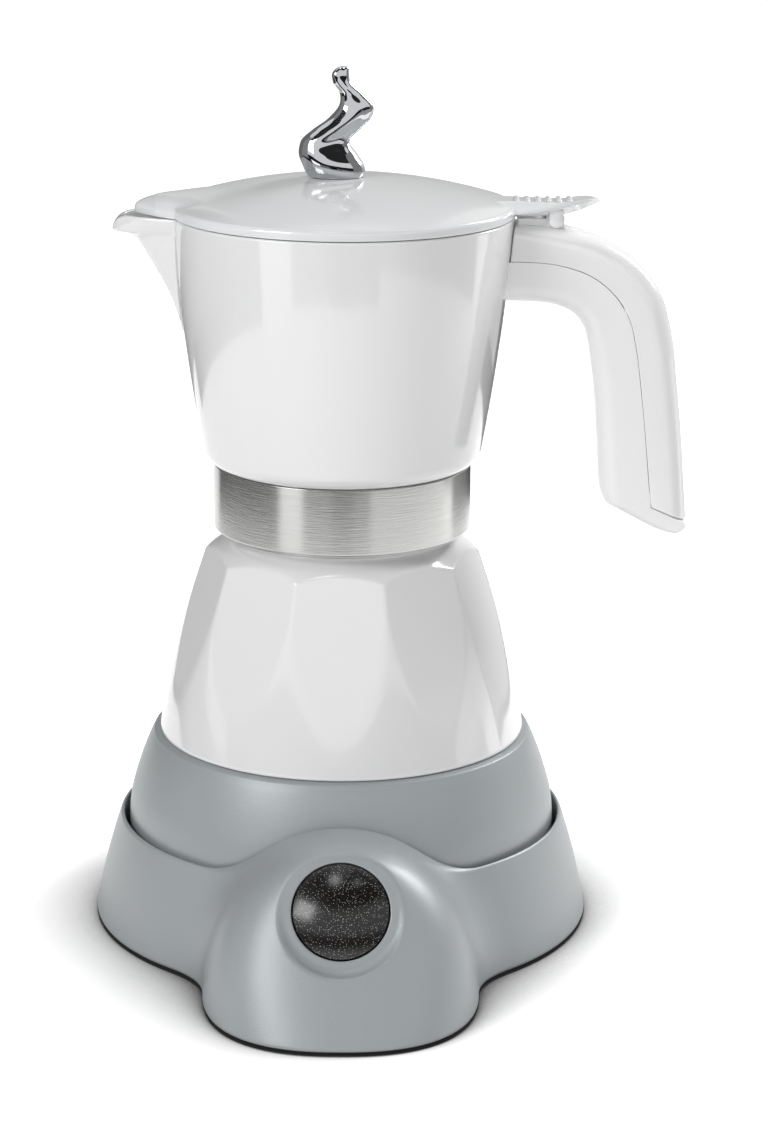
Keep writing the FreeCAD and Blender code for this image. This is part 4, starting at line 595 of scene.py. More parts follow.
def base_shell_surface(s):
    """The base shell as one closed surface. Its outline is traced in half planes round the
    axis, outside first and then the hollow. A window in both grids at the button is filled by
    rings that close in from the window to the button's hole, go down it and spread again."""
    columns, rows = 300, 132
    angle = packed_turn(columns, FRONT, 0.75, 1.6)

    def slope(centre, out, height):
        """Slope from a centre to a place in the half plane."""
        return np.arctan2(height - centre[1], out - centre[0])

    def rim(body):
        """Radius of a body at the shell's foot."""
        return edge_distance(lambda r: body(round_axis(r, BASE_FOOT, angle), s), 40.0, 140.0)

    centre, round_foot = (66.6, 4.0), 0.8
    outer = traced(lambda p, q: smooth_min(base_outside(p, q), p[..., 2] - BASE_FOOT, round_foot),
                   s, centre, slope(centre, rim(base_body) - 0.7, BASE_FOOT),
                   slope(centre, HUB, FLOOR_TOP), angle)
    r, z = outer[..., 0], outer[..., 1]
    wall, below = s["well_radius"] + 0.3, z.max(0) - z
    weight = np.where((z < FLOOR_TOP + 0.6) & (r < 63.0), 0.12, 1.0)
    weight = np.where((r < wall) & (below > 7.0) & (z > FLOOR_TOP + 0.6), 0.25, weight)
    weight = weight * (1 + 2.0 * np.exp(-((r - 65.2) / 1.6) ** 2) * step(below, 4.0, 1.0))
    outer = even(outer, rows, weight)
    centre = (68.8, 5.0)
    inner = traced(base_room, s, centre, slope(centre, HUB, FLOOR_UNDER),
                   slope(centre, rim(base_room), BASE_FOOT), angle)
    weight_in = np.where(inner[..., 0] < 62.0, 0.12, 1.0)
    front = int(np.argmin(np.abs(angle - FRONT)))

    def window(rows_of, deep):
        """First and last row of a grid that passes beside the button."""
        line = round_axis(rows_of[:, front, 0], rows_of[:, front, 1], angle[front]) - BUTTON_AT
        near = np.flatnonzero((np.abs(line @ UPWARD) < 20.4) & (line @ OUTWARD > deep))
        return int(near[0]), int(near[-1])

    low, high = window(outer, -14)
    for inner_rows in range(80, 400):
        trial = even(inner, inner_rows, weight_in)
        high_in, low_in = window(trial, -17)
        if low_in - high_in == high - low:
            break
    inner, high_in, low_in = trial, rows + high_in, rows + low_in
    points = np.concatenate([round_axis(g[..., 0], g[..., 1], angle) for g in (outer, inner)])
    index = np.arange(points.shape[0] * columns).reshape(-1, columns)
    level = points[(low + high) // 2, :, 0]
    beside = np.flatnonzero((np.abs(level) < 21.0) & (np.arange(columns) > columns // 2))
    left, right = beside[0], beside[-1]

    def loop(bottom_row, top_row):
        """Vertex numbers round a window, from its lower left corner to the right, up and back."""
        step_up = 1 if top_row > bottom_row else -1
        return np.concatenate([index[bottom_row, left:right],
                               index[bottom_row:top_row:step_up, right],
                               index[top_row, right:left:-1],
                               index[top_row:bottom_row:-step_up, left]])

    outside_loop, inside_loop = loop(low, high), loop(low_in, high_in)
    keep = np.ones(index.shape, bool)
    keep[low:high, left:right] = False
    keep[high_in:low_in, left:right] = False
    faces = quads(index).reshape(*index.shape, 4)[keep]
    flat = points.reshape(-1, 3)

    def rings(numbers, body, share, radius, deep):
        """Rings from a window's edge to a circle, laid on a body along the button's axis."""
        away = flat[numbers] - BUTTON_AT
        across, rise = away[:, 0], away @ UPWARD
        ring, bearing = np.hypot(across, rise), np.arctan2(rise, across)
        size = ring + (radius - ring) * share
        out = edge_distance(lambda w: body(round_button(size, w, bearing), s),
                            (away @ OUTWARD) * (1 - share) - deep, 9.0)
        return round_button(size, out, bearing), bearing

    hole = s["button_radius"] + 0.4
    face_rings, bearing = rings(outside_loop, base_outside, np.linspace(0, 1, 27)[1:, None],
                                hole + 0.35, 2.0)
    room_rings, bearing_in = rings(inside_loop, base_room, np.linspace(1, 0, 9)[:-1, None],
                                   LEDGE, 8.0)
    sleeve = np.array([[hole + 0.18, -0.05], [hole + 0.05, -0.16], [hole, -0.4], [hole, -0.8],
                       [hole, SLEEVE], [hole + 0.4, SLEEVE - 0.4], [LEDGE - 0.4, SLEEVE - 0.4],
                       [LEDGE, SLEEVE]])
    bore = round_button(sleeve[:, :1], sleeve[:, 1:], bearing)
    blend = round_button(LEDGE, (room_rings[0] - BUTTON_AT) @ OUTWARD, bearing_in)
    patch = np.concatenate([face_rings, bore, blend[None], room_rings[1:]])
    numbers = index.size + np.arange(patch.shape[0] * patch.shape[1]).reshape(patch.shape[:2])
    numbers = np.concatenate([outside_loop[None], numbers, inside_loop[None]])
    faces = np.concatenate([faces, quads(numbers, closed=False)])
    return np.concatenate([flat, patch.reshape(-1, 3)]), faces, np.zeros(len(faces), int)


class MOKA_OT_base_shell(bpy.types.Operator):
    """Builds the base shell: ring, well, nose and dish"""

    bl_idname = "moka.base_shell"
    bl_label = "Base shell"

    def execute(self, context):
        piece("base_shell_skin", "base", "grey_plastic", [grey_abs()], base_shell_surface(sizes()),
              "base_shell")
        return {"FINISHED"}


class MOKA_OT_button(bpy.types.Operator):
    """Builds the smoked push button: a ball cap on a short skirt, turned about its axis"""

    bl_idname = "moka.button"
    bl_label = "Push button"

    def execute(self, context):
        s = sizes()
        radius = s["button_radius"]
        dome, wall, shy = 3.2, 1.8, 0.96
        out = radius * np.sin(np.linspace(0, 1, 22) * math.pi / 2 * shy)
        cap = np.column_stack([out, cap_height(out, radius, 0.0, dome)])
        inner = radius - wall
        out_in = np.linspace(inner, 0, 12)
        under = np.column_stack([out_in, cap_height(out_in, inner, -1.4, dome - wall)])
        low = -6.25
        profile = np.concatenate([
            cap, rounded([cap[-1], (radius, -0.4), (radius, low), (inner, low), under[0]],
                         [0, 0.35, 0.2, 0.2, 0], False)[1:-1], under])[::-1]
        points = round_button(profile[:, :1], profile[:, 1:], full_turn(96))
        piece("button_lens", "button", "smoked_lens", [smoked_lens()], grid(points, closed=False),
              "button_dome")
        return {"FINISHED"}


class MOKA_OT_skirt(bpy.types.Operator):
    """Builds the heater skirt: a wall that curves in to a rounded top, turned about the axis"""

    bl_idname = "moka.skirt"
    bl_label = "Heater skirt"

    def execute(self, context):
        r = sizes()["skirt_radius"]
        outside = flowing([(r, 31), (r - 0.6, 36.5), (r - 2.6, 44), (r - 5.1, 51), (56.2, 54.5)], 30)
        inside = flowing([(r - 8.0, 52), (r - 5.2, 43), (r - 2.9, 36.5), (r - 2.4, 31)], 16)
        profile = np.concatenate([
            rounded([(r - 2.8, 15.3), (r - 0.4, 15.3), (r, 18.3)], [0, 0.5, 0], False), outside,
            rounded([(55.9, 55.0), (55.2, 56.5), (53.2, 57.0), (52.8, 57.0), (52.8, 55.0)],
                    [0, 1.0, 0.2, 0.2, 0], False), inside,
            [(r - 2.4, 18.3)]])
        piece("heater_skirt_skin", "boiler", "grey_plastic", [grey_abs()],
              grid(turned(profile, 240)), "heater_skirt")
        return {"FINISHED"}


# Boiler


def boiler_radius(height, angle, s, count):
    """Outer radius of the boiler: the smallest of a barrel arc, the flats and the shoulder
    cone, and never less than the neck, with every corner rounded."""
    bell = arc_radius(height, (53.6, 57.3), (48.0, 82.3), (40.6, 110.0))
    pitch, twist = 2 * math.pi / count, 0.018
    away = np.mod(angle + twist + math.pi / 2 + pitch / 2, pitch) - pitch / 2
    (low, wide), (high, narrow) = (97.0, 42.1), (110.5, 37.85)
    flat = wide + (wide - narrow) / (high - low) * (low - height)
    sides = smooth_min(flat / np.cos(away), flat / np.cos(pitch - np.abs(away)), 0.25)
    cone_top, cone_radius, steep = 112.3, 37.3, 0.72
    cone = cone_radius + (cone_top - height) / steep
    whole = smooth_min(smooth_min(bell, sides, 0.5), cone, 0.4)
    return smooth_max(whole, s["neck_radius"] + 0 * whole, 0.8)


class MOKA_OT_boiler(bpy.types.Operator):
    """Builds the boiler: faceted bell, threaded neck and hollow inside"""

    bl_idname = "moka.boiler"
    bl_label = "Boiler"

    def execute(self, context):
        s = sizes()
        count = context.scene.pot_sizes.facets
        columns, neck = 360, s["neck_radius"]
        angle = full_turn(columns)[None]
        heights = np.concatenate([np.linspace(57.5, 92, 40), np.linspace(92.6, 117, 62)])[:, None]
        bell = stacked(boiler_radius(heights, angle, s, count), heights)
        foot = np.array([(0, 55), (30, 55), (52.2, 55), (52.4, 55.2), (52.4, 57.1), (52.6, 57.25),
                         (53.4, 57.3)])
        start, end, deep, square = 117.3, 127.0, 0.75, 1.6
        climb = np.linspace(start, end, 44)[:, None]
        wave = np.cos(2 * math.pi * climb / s["thread_pitch"] - angle)
        fade = step(climb, start, start + 1.3) * step(climb, end, end - 1.4)
        groove = deep * (0.5 - 0.5 * np.tanh(square * wave) / math.tanh(square)) * fade
        thread = stacked(neck - groove, climb)
        top = rounded([(neck, 127.2), (neck - 0.8, 128), (29.8, 128), (29.8, 113.3),
                       (34.2, 107)], [0, 0.3, 0.4, 1.0, 0], False)
        inside = flowing([(34.2, 107), (43.6, 82.3), (49.6, 64), (47.8, 60.9), (44, 60)], 40)[1:]
        floor = np.array([(30, 60.0), (0, 60.0)])
        rest = all_round(np.concatenate([top, inside, floor]), columns)
        rows = np.concatenate([all_round(foot, columns), bell, thread, rest])
        lacquer_top = 116.2
        choice = np.zeros(len(rows), int)
        choice[len(foot) + int((heights < lacquer_top).sum()):] = 1
        piece("boiler_casting", "boiler", "white_enamel", [white_lacquer(), cast_aluminium()],
              grid(round_axis(rows[..., 0], rows[..., 1], angle), closed=False, choice=choice),
              "boiler")
        boss = rounded([(0, 34), (7.9, 34), (7.9, 38.2), (7.2, 39.4), (7.2, 42.45), (0, 42.45)],
                       [0, 0.2, 1.2, 0.6, 0.5, 0], False)
        around = turned(boss, 72)
        points = np.stack([around[..., 0], around[..., 2], around[..., 1] + 98.0], -1)
        piece("valve_boss", "boiler", "white_enamel", [white_lacquer()], grid(points, closed=False))
        return {"FINISHED"}


class MOKA_OT_band(bpy.types.Operator):
    """Builds the steel band: a thin rolled strip curled in at its foot, turned about the axis"""

    bl_idname = "moka.band"
    bl_label = "Steel band"

    def execute(self, context):
        r = sizes()["band_radius"]
        low, high, inner, curl = 117.9, 137.2, r - 0.65, r - 1.6
        profile = rounded([(curl, low + 0.55), (curl, low), (r, low), (r, high), (inner, high),
                           (inner, low + 1.5)], [0.1, 0.1, 1.45, 0.3, 0.1, 0.4], steps=8)
        piece("steel_band_strip", "jug_top", "band_steel", [brushed_steel()],
              grid(turned(profile, 240)), "steel_band")
        return {"FINISHED"}


# Jug and handle


def jug_radius(height, s):
    """Outer radius of the jug: a rounded foot and then a long arc to the rim."""
    low, knee = (37.2, 137.5), (40.4, 142.2)
    foot = arc_radius(np.clip(height, low[1], knee[1]), low, (39.5, 139.6), knee)
    wall = arc_radius(height, knee, (45.8, 178.0), (s["rim_radius"], s["rim_height"]))
    return np.where(height < knee[1], foot, wall)


SPOUT = np.array([
    # drop below the rim, reach past the rim, half width, sharpness of the keel
    (34.3, -5.2, 1.3, 2.2), (25.7, -0.9, 5.2, 2.2), (18.5, 2.9, 8.2, 2.1), (10.8, 7.2, 10.8, 1.9),
    (7.2, 9.5, 12.0, 1.9), (5.9, 10.9, 12.6, 2.0), (5.3, 12.2, 12.8, 2.15), (5.05, 15.6, 12.9, 2.6),
    (4.8, 16.5, 13.0, 2.6), (4.0, 16.75, 13.3, 2.4), (2.3, 16.6, 13.6, 2.0), (0.0, 15.8, 14.0, 1.6)])
CHANNEL = np.array([
    (34.3, -8.5, 0.3, 2.2), (25.7, -3.1, 3.5, 2.2), (18.5, 0.7, 6.5, 2.1), (10.8, 5.0, 9.1, 1.9),
    (4.3, 9.6, 11.0, 1.8), (2.1, 12.9, 11.7, 1.7), (0.0, 13.6, 12.3, 1.6), (-2.0, 13.8, 12.3, 1.6)])


def jug_depth(out, height, angle, s, inset):
    """Depth inside the jug's wall line. The spout's section at each height is a keel: its reach
    falls from the middle to the cheeks as a power of a half circle. It meets the wall in a
    hollow that tightens towards the rim."""
    table = (CHANNEL if inset else SPOUT)[::-1]
    x, y = out * np.cos(angle), out * np.sin(angle)
    drop = s["rim_height"] - height
    reach, half, power = (np.interp(drop, table[:, 0], table[:, i]) for i in (1, 2, 3))
    reach = reach + s["rim_radius"]
    wall = 42.0 - inset
    across = np.clip(1 - (y / half) ** 2, 0, None) ** (power / 2)
    keel = wall + (reach - wall) * across + x
    keel = np.where((np.abs(y) < half) & (x < 0), keel, -3.0 - np.abs(y) * 0.1)
    keel = np.where(drop < table[-1, 0] - 0.5, keel, -5.0)
    hollow = np.interp(drop, [4.0, 26.0], [1.8, 4.0])
    return smooth_max(jug_radius(height, s) - inset - out, keel, hollow)


def brim(x, s):
    """Height of the jug's rim at a place along the spout: level, then a quarter round of five
    millimetres down to the beak's tip."""
    bend = 5.0
    centre = -s["rim_radius"] - 11.8
    over = np.clip((centre - x) / bend, 0, 1)
    return s["rim_height"] - bend + bend * np.sqrt(1 - over**2)


class MOKA_OT_jug(bpy.types.Operator):
    """Builds the jug: its wall, spout, rim and floor"""

    bl_idname = "moka.jug"
    bl_label = "Jug"

    def execute(self, context):
        s = sizes()
        rim = s["rim_height"]
        angle = packed_turn(320, math.pi, 0.42, 2.5)[None]

        def wall(low, high, shares, inset):
            """Wall rows between a height and the brim, closer together where shares are."""
            fine = np.linspace(low, rim + 0.4, 240)[:, None] + 0 * angle
            out = edge_distance(lambda r: jug_depth(r, fine, angle, s, inset), 20.0, 80.0)
            over = fine > brim(out * np.cos(angle), s) - high
            last = np.argmax(over, axis=0)
            rows = []
            for column, end in enumerate(last):
                gap = brim(out[end - 1 : end + 1, column] * math.cos(angle[0, column]), s) - high
                gap = gap - fine[end - 1 : end + 1, column]
                stop = fine[end - 1, column] + (fine[1, 0] - low) * gap[0] / (gap[0] - gap[1])
                levels = low + (stop - low) * shares
                rows.append(np.column_stack([np.interp(levels, fine[:, column], out[:, column]),
                                             levels]))
            return np.stack(rows, 1)

        ease, thick = 0.6, 2.2
        shares = np.concatenate([np.linspace(0, 0.085, 14), np.linspace(0.095, 0.85, 60),
                                 np.linspace(0.86, 1, 34)])
        outside = wall(137.7, ease, shares, 0)
        inside = wall(143.6, ease, np.linspace(1, 0, 80), thick)
        bend = np.linspace(0.15, 1, 5)[:, None] * math.pi / 2

        def over(row, way, turn):
            """Rows that bend from an upright wall to the brim's height at each place."""
            out = row[:, 0] - way * ease * (1 - np.cos(turn))
            flat = brim(out * np.cos(angle), s)
            return np.stack([out, row[:, 1] + (flat - row[:, 1]) * np.sin(turn)], -1)

        curl, dive = over(outside[-1], 1, bend), over(inside[0], -1, bend[::-1])
        under = rounded([(38.4, 142.6), (37.0, 140.5), (5.6, 140.5), (5.6, 138.1), (36.6, 138.1),
                         (36.6, 137.5), (37.2, 137.5)], [0, 1.0, 0.2, 0.2, 0.1, 0.1, 0], False)
        rows = np.concatenate([outside, curl, dive, inside, all_round(under, angle.size)])
        piece("jug_casting", "jug_top", "white_plastic", [white_lacquer()],
              grid(round_axis(rows[..., 0], rows[..., 1], angle)), "jug")
        return {"FINISHED"}


def bar_surface(line, half, inner_round, outer_round, crown):
    """A bar swept along matched inner and outer lines in the XZ plane. Each section is a
    rectangle between the two lines with rounded corners and a crowned outer side. Both ends
    are closed to their middle point."""
    inner, outer, steps = line[:, :2], line[:, 2:], 9
    thick = np.linalg.norm(outer - inner, axis=1)[:, None]
    lean = (outer - inner) / thick
    bend = np.linspace(0, math.pi / 2, steps)
    flat = np.linspace(-1, 1, steps)[1:-1]
    loops = []
    for outward, side, radius in ((1, 1, outer_round), (1, -1, outer_round),
                                  (-1, -1, inner_round), (-1, 1, inner_round)):
        radius = np.minimum(np.broadcast_to(radius, len(line))[:, None], thick * 0.49)
        turn = bend if outward == side else bend[::-1]
        level = np.zeros((len(line), steps))
        loops.append((level + (outward > 0), outward * radius * (np.sin(turn) - 1),
                      side * (half - radius + radius * np.cos(turn))))
        if outward == side:
            level = level[:, 1:-1]
            loops.append((level + (outward > 0), level, (half - radius) * flat * -side))
    share, extra, across = (np.concatenate([part[i] for part in loops], 1) for i in range(3))
    deep = thick * share + extra + crown * share * (1 - (across / half) ** 2)
    return capped(stacked(inner[:, :1] + lean[:, :1] * deep, across,
                          inner[:, 1:] + lean[:, 1:] * deep))


# Lines of the handle in the XZ plane: distance out and height inside, then outside
CORE = [(45.2, 184.8, 45.2, 196.6), (50, 184.7, 50.5, 196.6), (54, 184.6, 54.3, 196.5),
        (60.5, 183.7, 62.6, 195.3), (65.8, 181.2, 70.8, 192.2), (68.9, 177.0, 77.3, 186.8),
        (70.3, 172.5, 81.3, 180.2), (71.4, 166.0, 83.3, 172.4), (72.6, 157, 85.2, 159.5),
        (73.8, 142, 87.1, 142.7), (74.4, 134, 88.3, 131.0), (74.9, 128.5, 88.8, 127.5),
        (76.3, 125.7, 88.95, 125.2)]
TOE = [CORE[-1], (84.6, 121.4, 92.5, 123.5), (89.6, 119.0, 95.2, 122.3), (93.4, 117.6, 97.6, 121.2),
       (96.2, 117.2, 98.7, 120.8), (98.1, 118.1, 99.1, 120.4), (98.9, 119.2, 99.2, 119.9)]
COVER = [(48.1, 196.75, 49.0, 206.4), (54.3, 196.65, 54.6, 206.1), (62.65, 195.45, 63.7, 204.9),
         (70.9, 192.35, 74.5, 201.3), (77.4, 186.95, 83.4, 195.7), (81.4, 180.3, 90.1, 187.2),
         (83.4, 172.5, 93.5, 175.9), (85.3, 159.6, 95.5, 161.1), (87.2, 142.8, 97.3, 144.9),
         (88.4, 131.1, 98.6, 129.0), (89.1, 125.35, 99.3, 121.0)]
WEB = [(49.5, 204, 49.5, 208.4), (49.7, 204, 49.7, 208.4), (60, 204, 60, 208.4)]
PIN_OUT, PIN_UP = 60.0, 208.1  # the lid's hinge pin


class MOKA_OT_handle(bpy.types.Operator):
    """Builds the handle: an inner half on the jug and a glossy cover outside its seam"""

    bl_idname = "moka.handle"
    bl_label = "Handle"

    def execute(self, context):
        half = sizes()["handle_width"] / 2
        core = np.concatenate([flowing(CORE, 120), flowing(TOE, 30)[1:]])
        piece("handle_inner_half", "jug_top", "white_plastic", [satin_abs()],
              bar_surface(core, half, 5.3, 0.15, 0))
        cover = flowing(COVER, 150)
        edges = np.interp(cover[:, 0], [48, 66], [3.0, 5.3])
        points, faces, picks = bar_surface(cover, half, 0.15, edges, 0.3)
        wall = 48  # the jug's radius behind the cover, whose end hugs it
        hug = step(points[:, 0], 58, 49) * (wall - np.sqrt(wall**2 - points[:, 1] ** 2))
        points = points - hug[:, None] * np.array([1, 0, 0])
        web = bar_surface(np.array(WEB), 4.3, 0.2, 0.4, 0)
        piece("handle_cover_shell", "jug_top", "white_plastic", [cover_abs()],
              joined((points, faces, picks), web), "handle_cover")
        turn, radius = np.linspace(-0.35, math.pi + 0.35, 30), 2.6
        ring = np.column_stack([PIN_OUT + radius * np.cos(turn), PIN_UP + radius * np.sin(turn)])
        ring = np.concatenate([ring, [(57.2, 205.0), (57.0, 204.0), (63.0, 203.6), (62.8, 204.6)]])
        across = np.array([-4.5, -4.5, -4.3, 4.3, 4.5, 4.5])
        piece("hinge_barrel", "jug_top", "white_plastic", [cover_abs()],
              eye(ring, np.array([PIN_OUT, 206.6]), across, [0, 0.94, 1, 1, 0.94, 0]))
        return {"FINISHED"}


# Lid and knob


TONGUE = np.array([
    # distance out from the axis, half width, height of the ridge over the lid's foot
    (28.0, 32.5, 7.2), (36.0, 24.5, 6.8), (42.0, 18.5, 6.4), (46.4, 14.1, 5.95), (49.9, 11.3, 5.6),
    (52.8, 8.8, 5.1), (55.8, 5.3, 4.2), (57.4, 3.3, 3.5), (58.3, 2.2, 2.9), (58.9, 1.2, 2.35),
    (59.1, 0.0, 2.2)])
LEVER = np.array([
    # distance out, then half width and height over the lid's foot: top strip, edge, underside
    (38.0, 6.5, 4.6, 16.0, 1.2, 6.0, 0.0), (44.0, 5.2, 4.3, 13.5, 1.25, 6.0, 0.0),
    (48.0, 4.6, 4.2, 10.9, 1.3, 5.5, 0.0), (55.0, 4.2, 4.0, 9.8, 1.95, 5.0, 0.05),
    (61.0, 3.8, 3.9, 8.8, 2.8, 4.8, 0.4), (66.5, 3.2, 4.25, 7.0, 3.9, 3.8, 1.5),
    (70.0, 2.4, 4.7, 4.8, 4.4, 2.4, 2.7), (71.8, 1.6, 4.5, 2.9, 4.2, 1.4, 3.3),
    (72.6, 0.5, 4.2, 0.9, 4.0, 0.5, 3.7)])
LID_GAP = 0.3  # the lid's foot stands this far over the jug's rim


class MOKA_OT_lid(bpy.types.Operator):
    """Builds the lid: dome, upright rim, tongue over the spout, ribbed thumb lever and lugs"""

    bl_idname = "moka.lid"
    bl_label = "Lid"

    def execute(self, context):
        s = sizes()
        rim, crown, foot = s["rim_radius"] + 0.15, s["lid_crown"], s["rim_height"] + LID_GAP
        thin, ease, corner, inner, lip_out, join = 2.1, 0.75, 0.3, 44.0, 46.1, 30.0
        angle = packed_turn(360, math.pi, 0.5, 2.6, 4)[None]

        def plan(out):
            """Depth inside the lid's outline: a disc and the tongue."""
            x, y = out * np.cos(angle), out * np.sin(angle)
            tongue = np.interp(-x, TONGUE[:, 0], TONGUE[:, 1]) - np.abs(y)
            tongue = np.where(-x > TONGUE[0, 0], np.minimum(tongue, TONGUE[-1, 0] + x), -9.0)
            return smooth_max(rim - out, tongue, 0.3)

        outline = edge_distance(plan, 30.0, 80.0)

        def top(out):
            """Height of the upper side: the dome, and the tongue as a parabola across."""
            x, y = out * np.cos(angle), out * np.sin(angle)
            half, ridge = (np.interp(-x, TONGUE[:, 0], TONGUE[:, i]) for i in (1, 2))
            arch = np.clip(1 - (y / np.maximum(half, 0.2)) ** 2, 0, None)
            tongue = foot + thin + (ridge - thin) * arch
            dome = cap_height(np.minimum(out, rim - 1), rim - 1, foot + 2.9, crown)
            dome = np.where(out < rim, dome - 0.7 * np.clip(out - rim + 1, 0, 1) ** 2, foot)
            return smooth_max(dome, np.where(-x > TONGUE[0, 0] - 6, tongue, foot), 0.4)

        out = np.linspace(0, inner - 0.5, 22)[:, None] + 0 * angle
        under = np.stack([out, cap_height(out, inner, foot + 1.2, crown - 2.2)], -1)
        low = foot - 3.2
        lip = rounded([(inner, foot + 1.2), (inner, low), (lip_out, low), (lip_out, foot)],
                      [0, 0.4, 0.5, 0], False)
        share = np.linspace(0.03, 1, 12)[:, None]
        bottom = stacked(lip_out + (outline - corner - 0.1 - lip_out) * share, foot)
        bend = np.linspace(0, math.pi / 2, 7)[1:, None]
        turn_up = stacked(outline - corner * (1 - np.sin(bend)), foot + corner * (1 - np.cos(bend)))
        out = outline - ease * (1 - np.cos(bend[:-1]))
        bevel = np.stack([out, top(out - 0.02) - ease * (1 - np.sin(bend[:-1]))], -1)
        upright = turn_up[-1] + (bevel[0] - turn_up[-1]) * np.linspace(0, 0.97, 6)[1:, None, None]
        start = outline - ease - 0.03
        out = start + (join - start) * np.linspace(0, 1, 90)[:, None] ** 1.2
        flange = np.stack([out, top(out)], -1)
        out = join * (1 - np.linspace(0, 1, 32)[1:, None]) + 0 * angle
        dome = np.stack([out, top(out)], -1)
        rows = np.concatenate([under, all_round(lip, angle.size), bottom, turn_up, upright, bevel,
                               flange, dome])
        piece("lid_shell", "lid_top", "white_plastic", [white_abs()],
              grid(round_axis(rows[..., 0], rows[..., 1], angle), closed=False), "lid")
        self.lever(s)
        self.lugs()
        return {"FINISHED"}

    def lever(self, s):
        """The thumb lever: a flat top strip, hollow flanks down to a sharp edge and an
        underside that slopes in. Six half-round ribs lie across the strip."""
        foot, stretch = s["rim_height"] + LID_GAP, s["lever_reach"] / LEVER[-1, 0]
        table = flowing(LEVER, 90)
        half_top, top, half_edge, edge_up, half_low, low = (table[:, i : i + 1] for i in range(1, 7))
        # Shares of the way across the strip, down to the edge, under it, and back to the middle
        strip = np.array([0, 0.3, 0.6, 0.85, 0.97])[None]
        climb = np.array([1, 0.94, 0.82, 0.68, 0.52, 0.38, 0.26, 0.15, 0.07, 0.02, 0])[None]
        dive = np.array([0.02, 0.08, 0.3, 0.6, 0.9, 1])[None]
        flat = np.array([0.9, 0.6, 0.3])[None]
        across = np.hstack([half_top * strip, half_edge - (half_edge - half_top) * climb,
                            half_edge - (half_edge - half_low) * dive, half_low * flat])
        up = np.hstack([top + 0 * strip, edge_up + (top - edge_up) * climb**1.7,
                        edge_up - (edge_up - low) * dive, low + 0 * flat])
        across = np.hstack([across, 0 * low, -across[:, :0:-1]])
        up = np.hstack([up, low, up[:, :0:-1]])
        piece("lid_lever", "lid_top", "white_plastic", [white_abs()],
              capped(stacked(table[:, :1] * stretch, across, foot + up)))
        ribs, apart, radius, rise = 6, 3.0, 0.8, 0.75
        number = np.arange(ribs)[:, None, None]
        tilt = np.linspace(0, math.pi, 15)[None, :, None]
        around = full_turn(28)[None, None]
        long = 4.6 - 0.15 * number
        side = np.sign(np.cos(around)) * np.abs(np.cos(around)) ** 0.45
        beside = np.sign(np.sin(around)) * np.abs(np.sin(around)) ** 0.8
        x = (49.1 + apart * number) * stretch + np.sin(tilt) * beside * radius
        y = np.sin(tilt) * side * long
        z = foot + 4.1 - 0.05 * number + 0.012 * number**2 + np.cos(tilt) * rise
        piece("lever_ribs", "lid_top", "white_plastic", [white_abs()],
              joined(*[grid(one, closed=False) for one in stacked(x, y, z)]))

    def lugs(self):
        """Two eyes under the lever that hold the hinge pin: a round end on a straight web."""
        turn, radius = np.linspace(math.pi, 2 * math.pi, 24), 1.95
        ring = np.column_stack([PIN_OUT + radius * np.cos(turn), PIN_UP + radius * np.sin(turn)])
        ring = np.concatenate([ring, [(61.95, 209.5), (62.0, 211.4), (58.0, 211.4), (58.05, 209.5)]])
        steps = np.array([0, 0, 0.2, 2.8, 3.0, 3.0])
        pair = [eye(ring, np.array([PIN_OUT, 208.6]), near + steps, [0, 0.92, 1, 1, 0.92, 0])
                for near in (-7.85, 4.85)]
        piece("hinge_lugs", "lid_top", "white_plastic", [white_abs()], joined(*pair))


KNOB = np.array([
    # share of the height, sway, half width, depth share, turn in degrees
    (0.0, -2.0, 7.7, 0.72, 0), (0.03, -2.2, 8.3, 0.72, 0), (0.10, -2.8, 8.75, 0.72, 4),
    (0.21, -4.4, 8.25, 0.70, 12), (0.316, -5.2, 6.9, 0.68, 24), (0.426, -2.0, 6.75, 0.62, 38),
    (0.535, 1.8, 6.05, 0.60, 44), (0.645, 3.5, 4.85, 0.62, 36), (0.755, 2.1, 3.2, 0.75, 20),
    (0.865, -0.6, 2.5, 0.85, 5), (0.945, -0.8, 2.3, 0.8, 0), (0.985, -0.2, 1.6, 0.8, 0),
    (1.0, 0.1, 0.6, 0.8, 0)])


class MOKA_OT_knob(bpy.types.Operator):
    """Builds the knob: ovals with two rounded ridges, stacked on a swaying line and turned"""

    bl_idname = "moka.knob"
    bl_label = "Knob"

    def execute(self, context):
        s = sizes()
        count, tall, gap = 150, 31, 0.05
        share = 0.5 - 0.5 * np.cos(np.linspace(0, math.pi, count))
        columns = []
        for column in range(1, KNOB.shape[1]):
            curve = flowing(np.column_stack([KNOB[:, 0] * tall, KNOB[:, column]]), 400)
            even_steps = np.interp(np.linspace(0, tall, count), curve[:, 0], curve[:, 1])
            columns.append(np.interp(share, np.linspace(0, 1, count), even_steps)[:, None])
        sway, half, flat, twist = columns
        share, around = share[:, None], full_turn(96)[None]
        valley = 0.22 * step(share, 0.12, 0.4)
        bulge = 1 - valley * (0.5 - 0.5 * np.cos(2 * (around - np.radians(twist)))) ** 3
        x = sway + half * bulge * np.cos(around)
        y = half * flat * bulge * np.sin(around)
        z = s["lid_crown"] + gap + s["knob_height"] * share
        piece("knob_casting", "lid_top", "knob_chrome", [chrome()], capped(stacked(x, y, z)), "knob")
        return {"FINISHED"}


# Fittings


class MOKA_OT_fittings(bpy.types.Operator):
    """Gives every CAD node that keeps its mesh its own finish"""

    bl_idname = "moka.fittings"
    bl_label = "Fittings"

    def execute(self, context):
        for name, material in fittings_finishes().items():
            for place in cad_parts[name].material_slots:
                place.material = material
        return {"FINISHED"}


# Studio

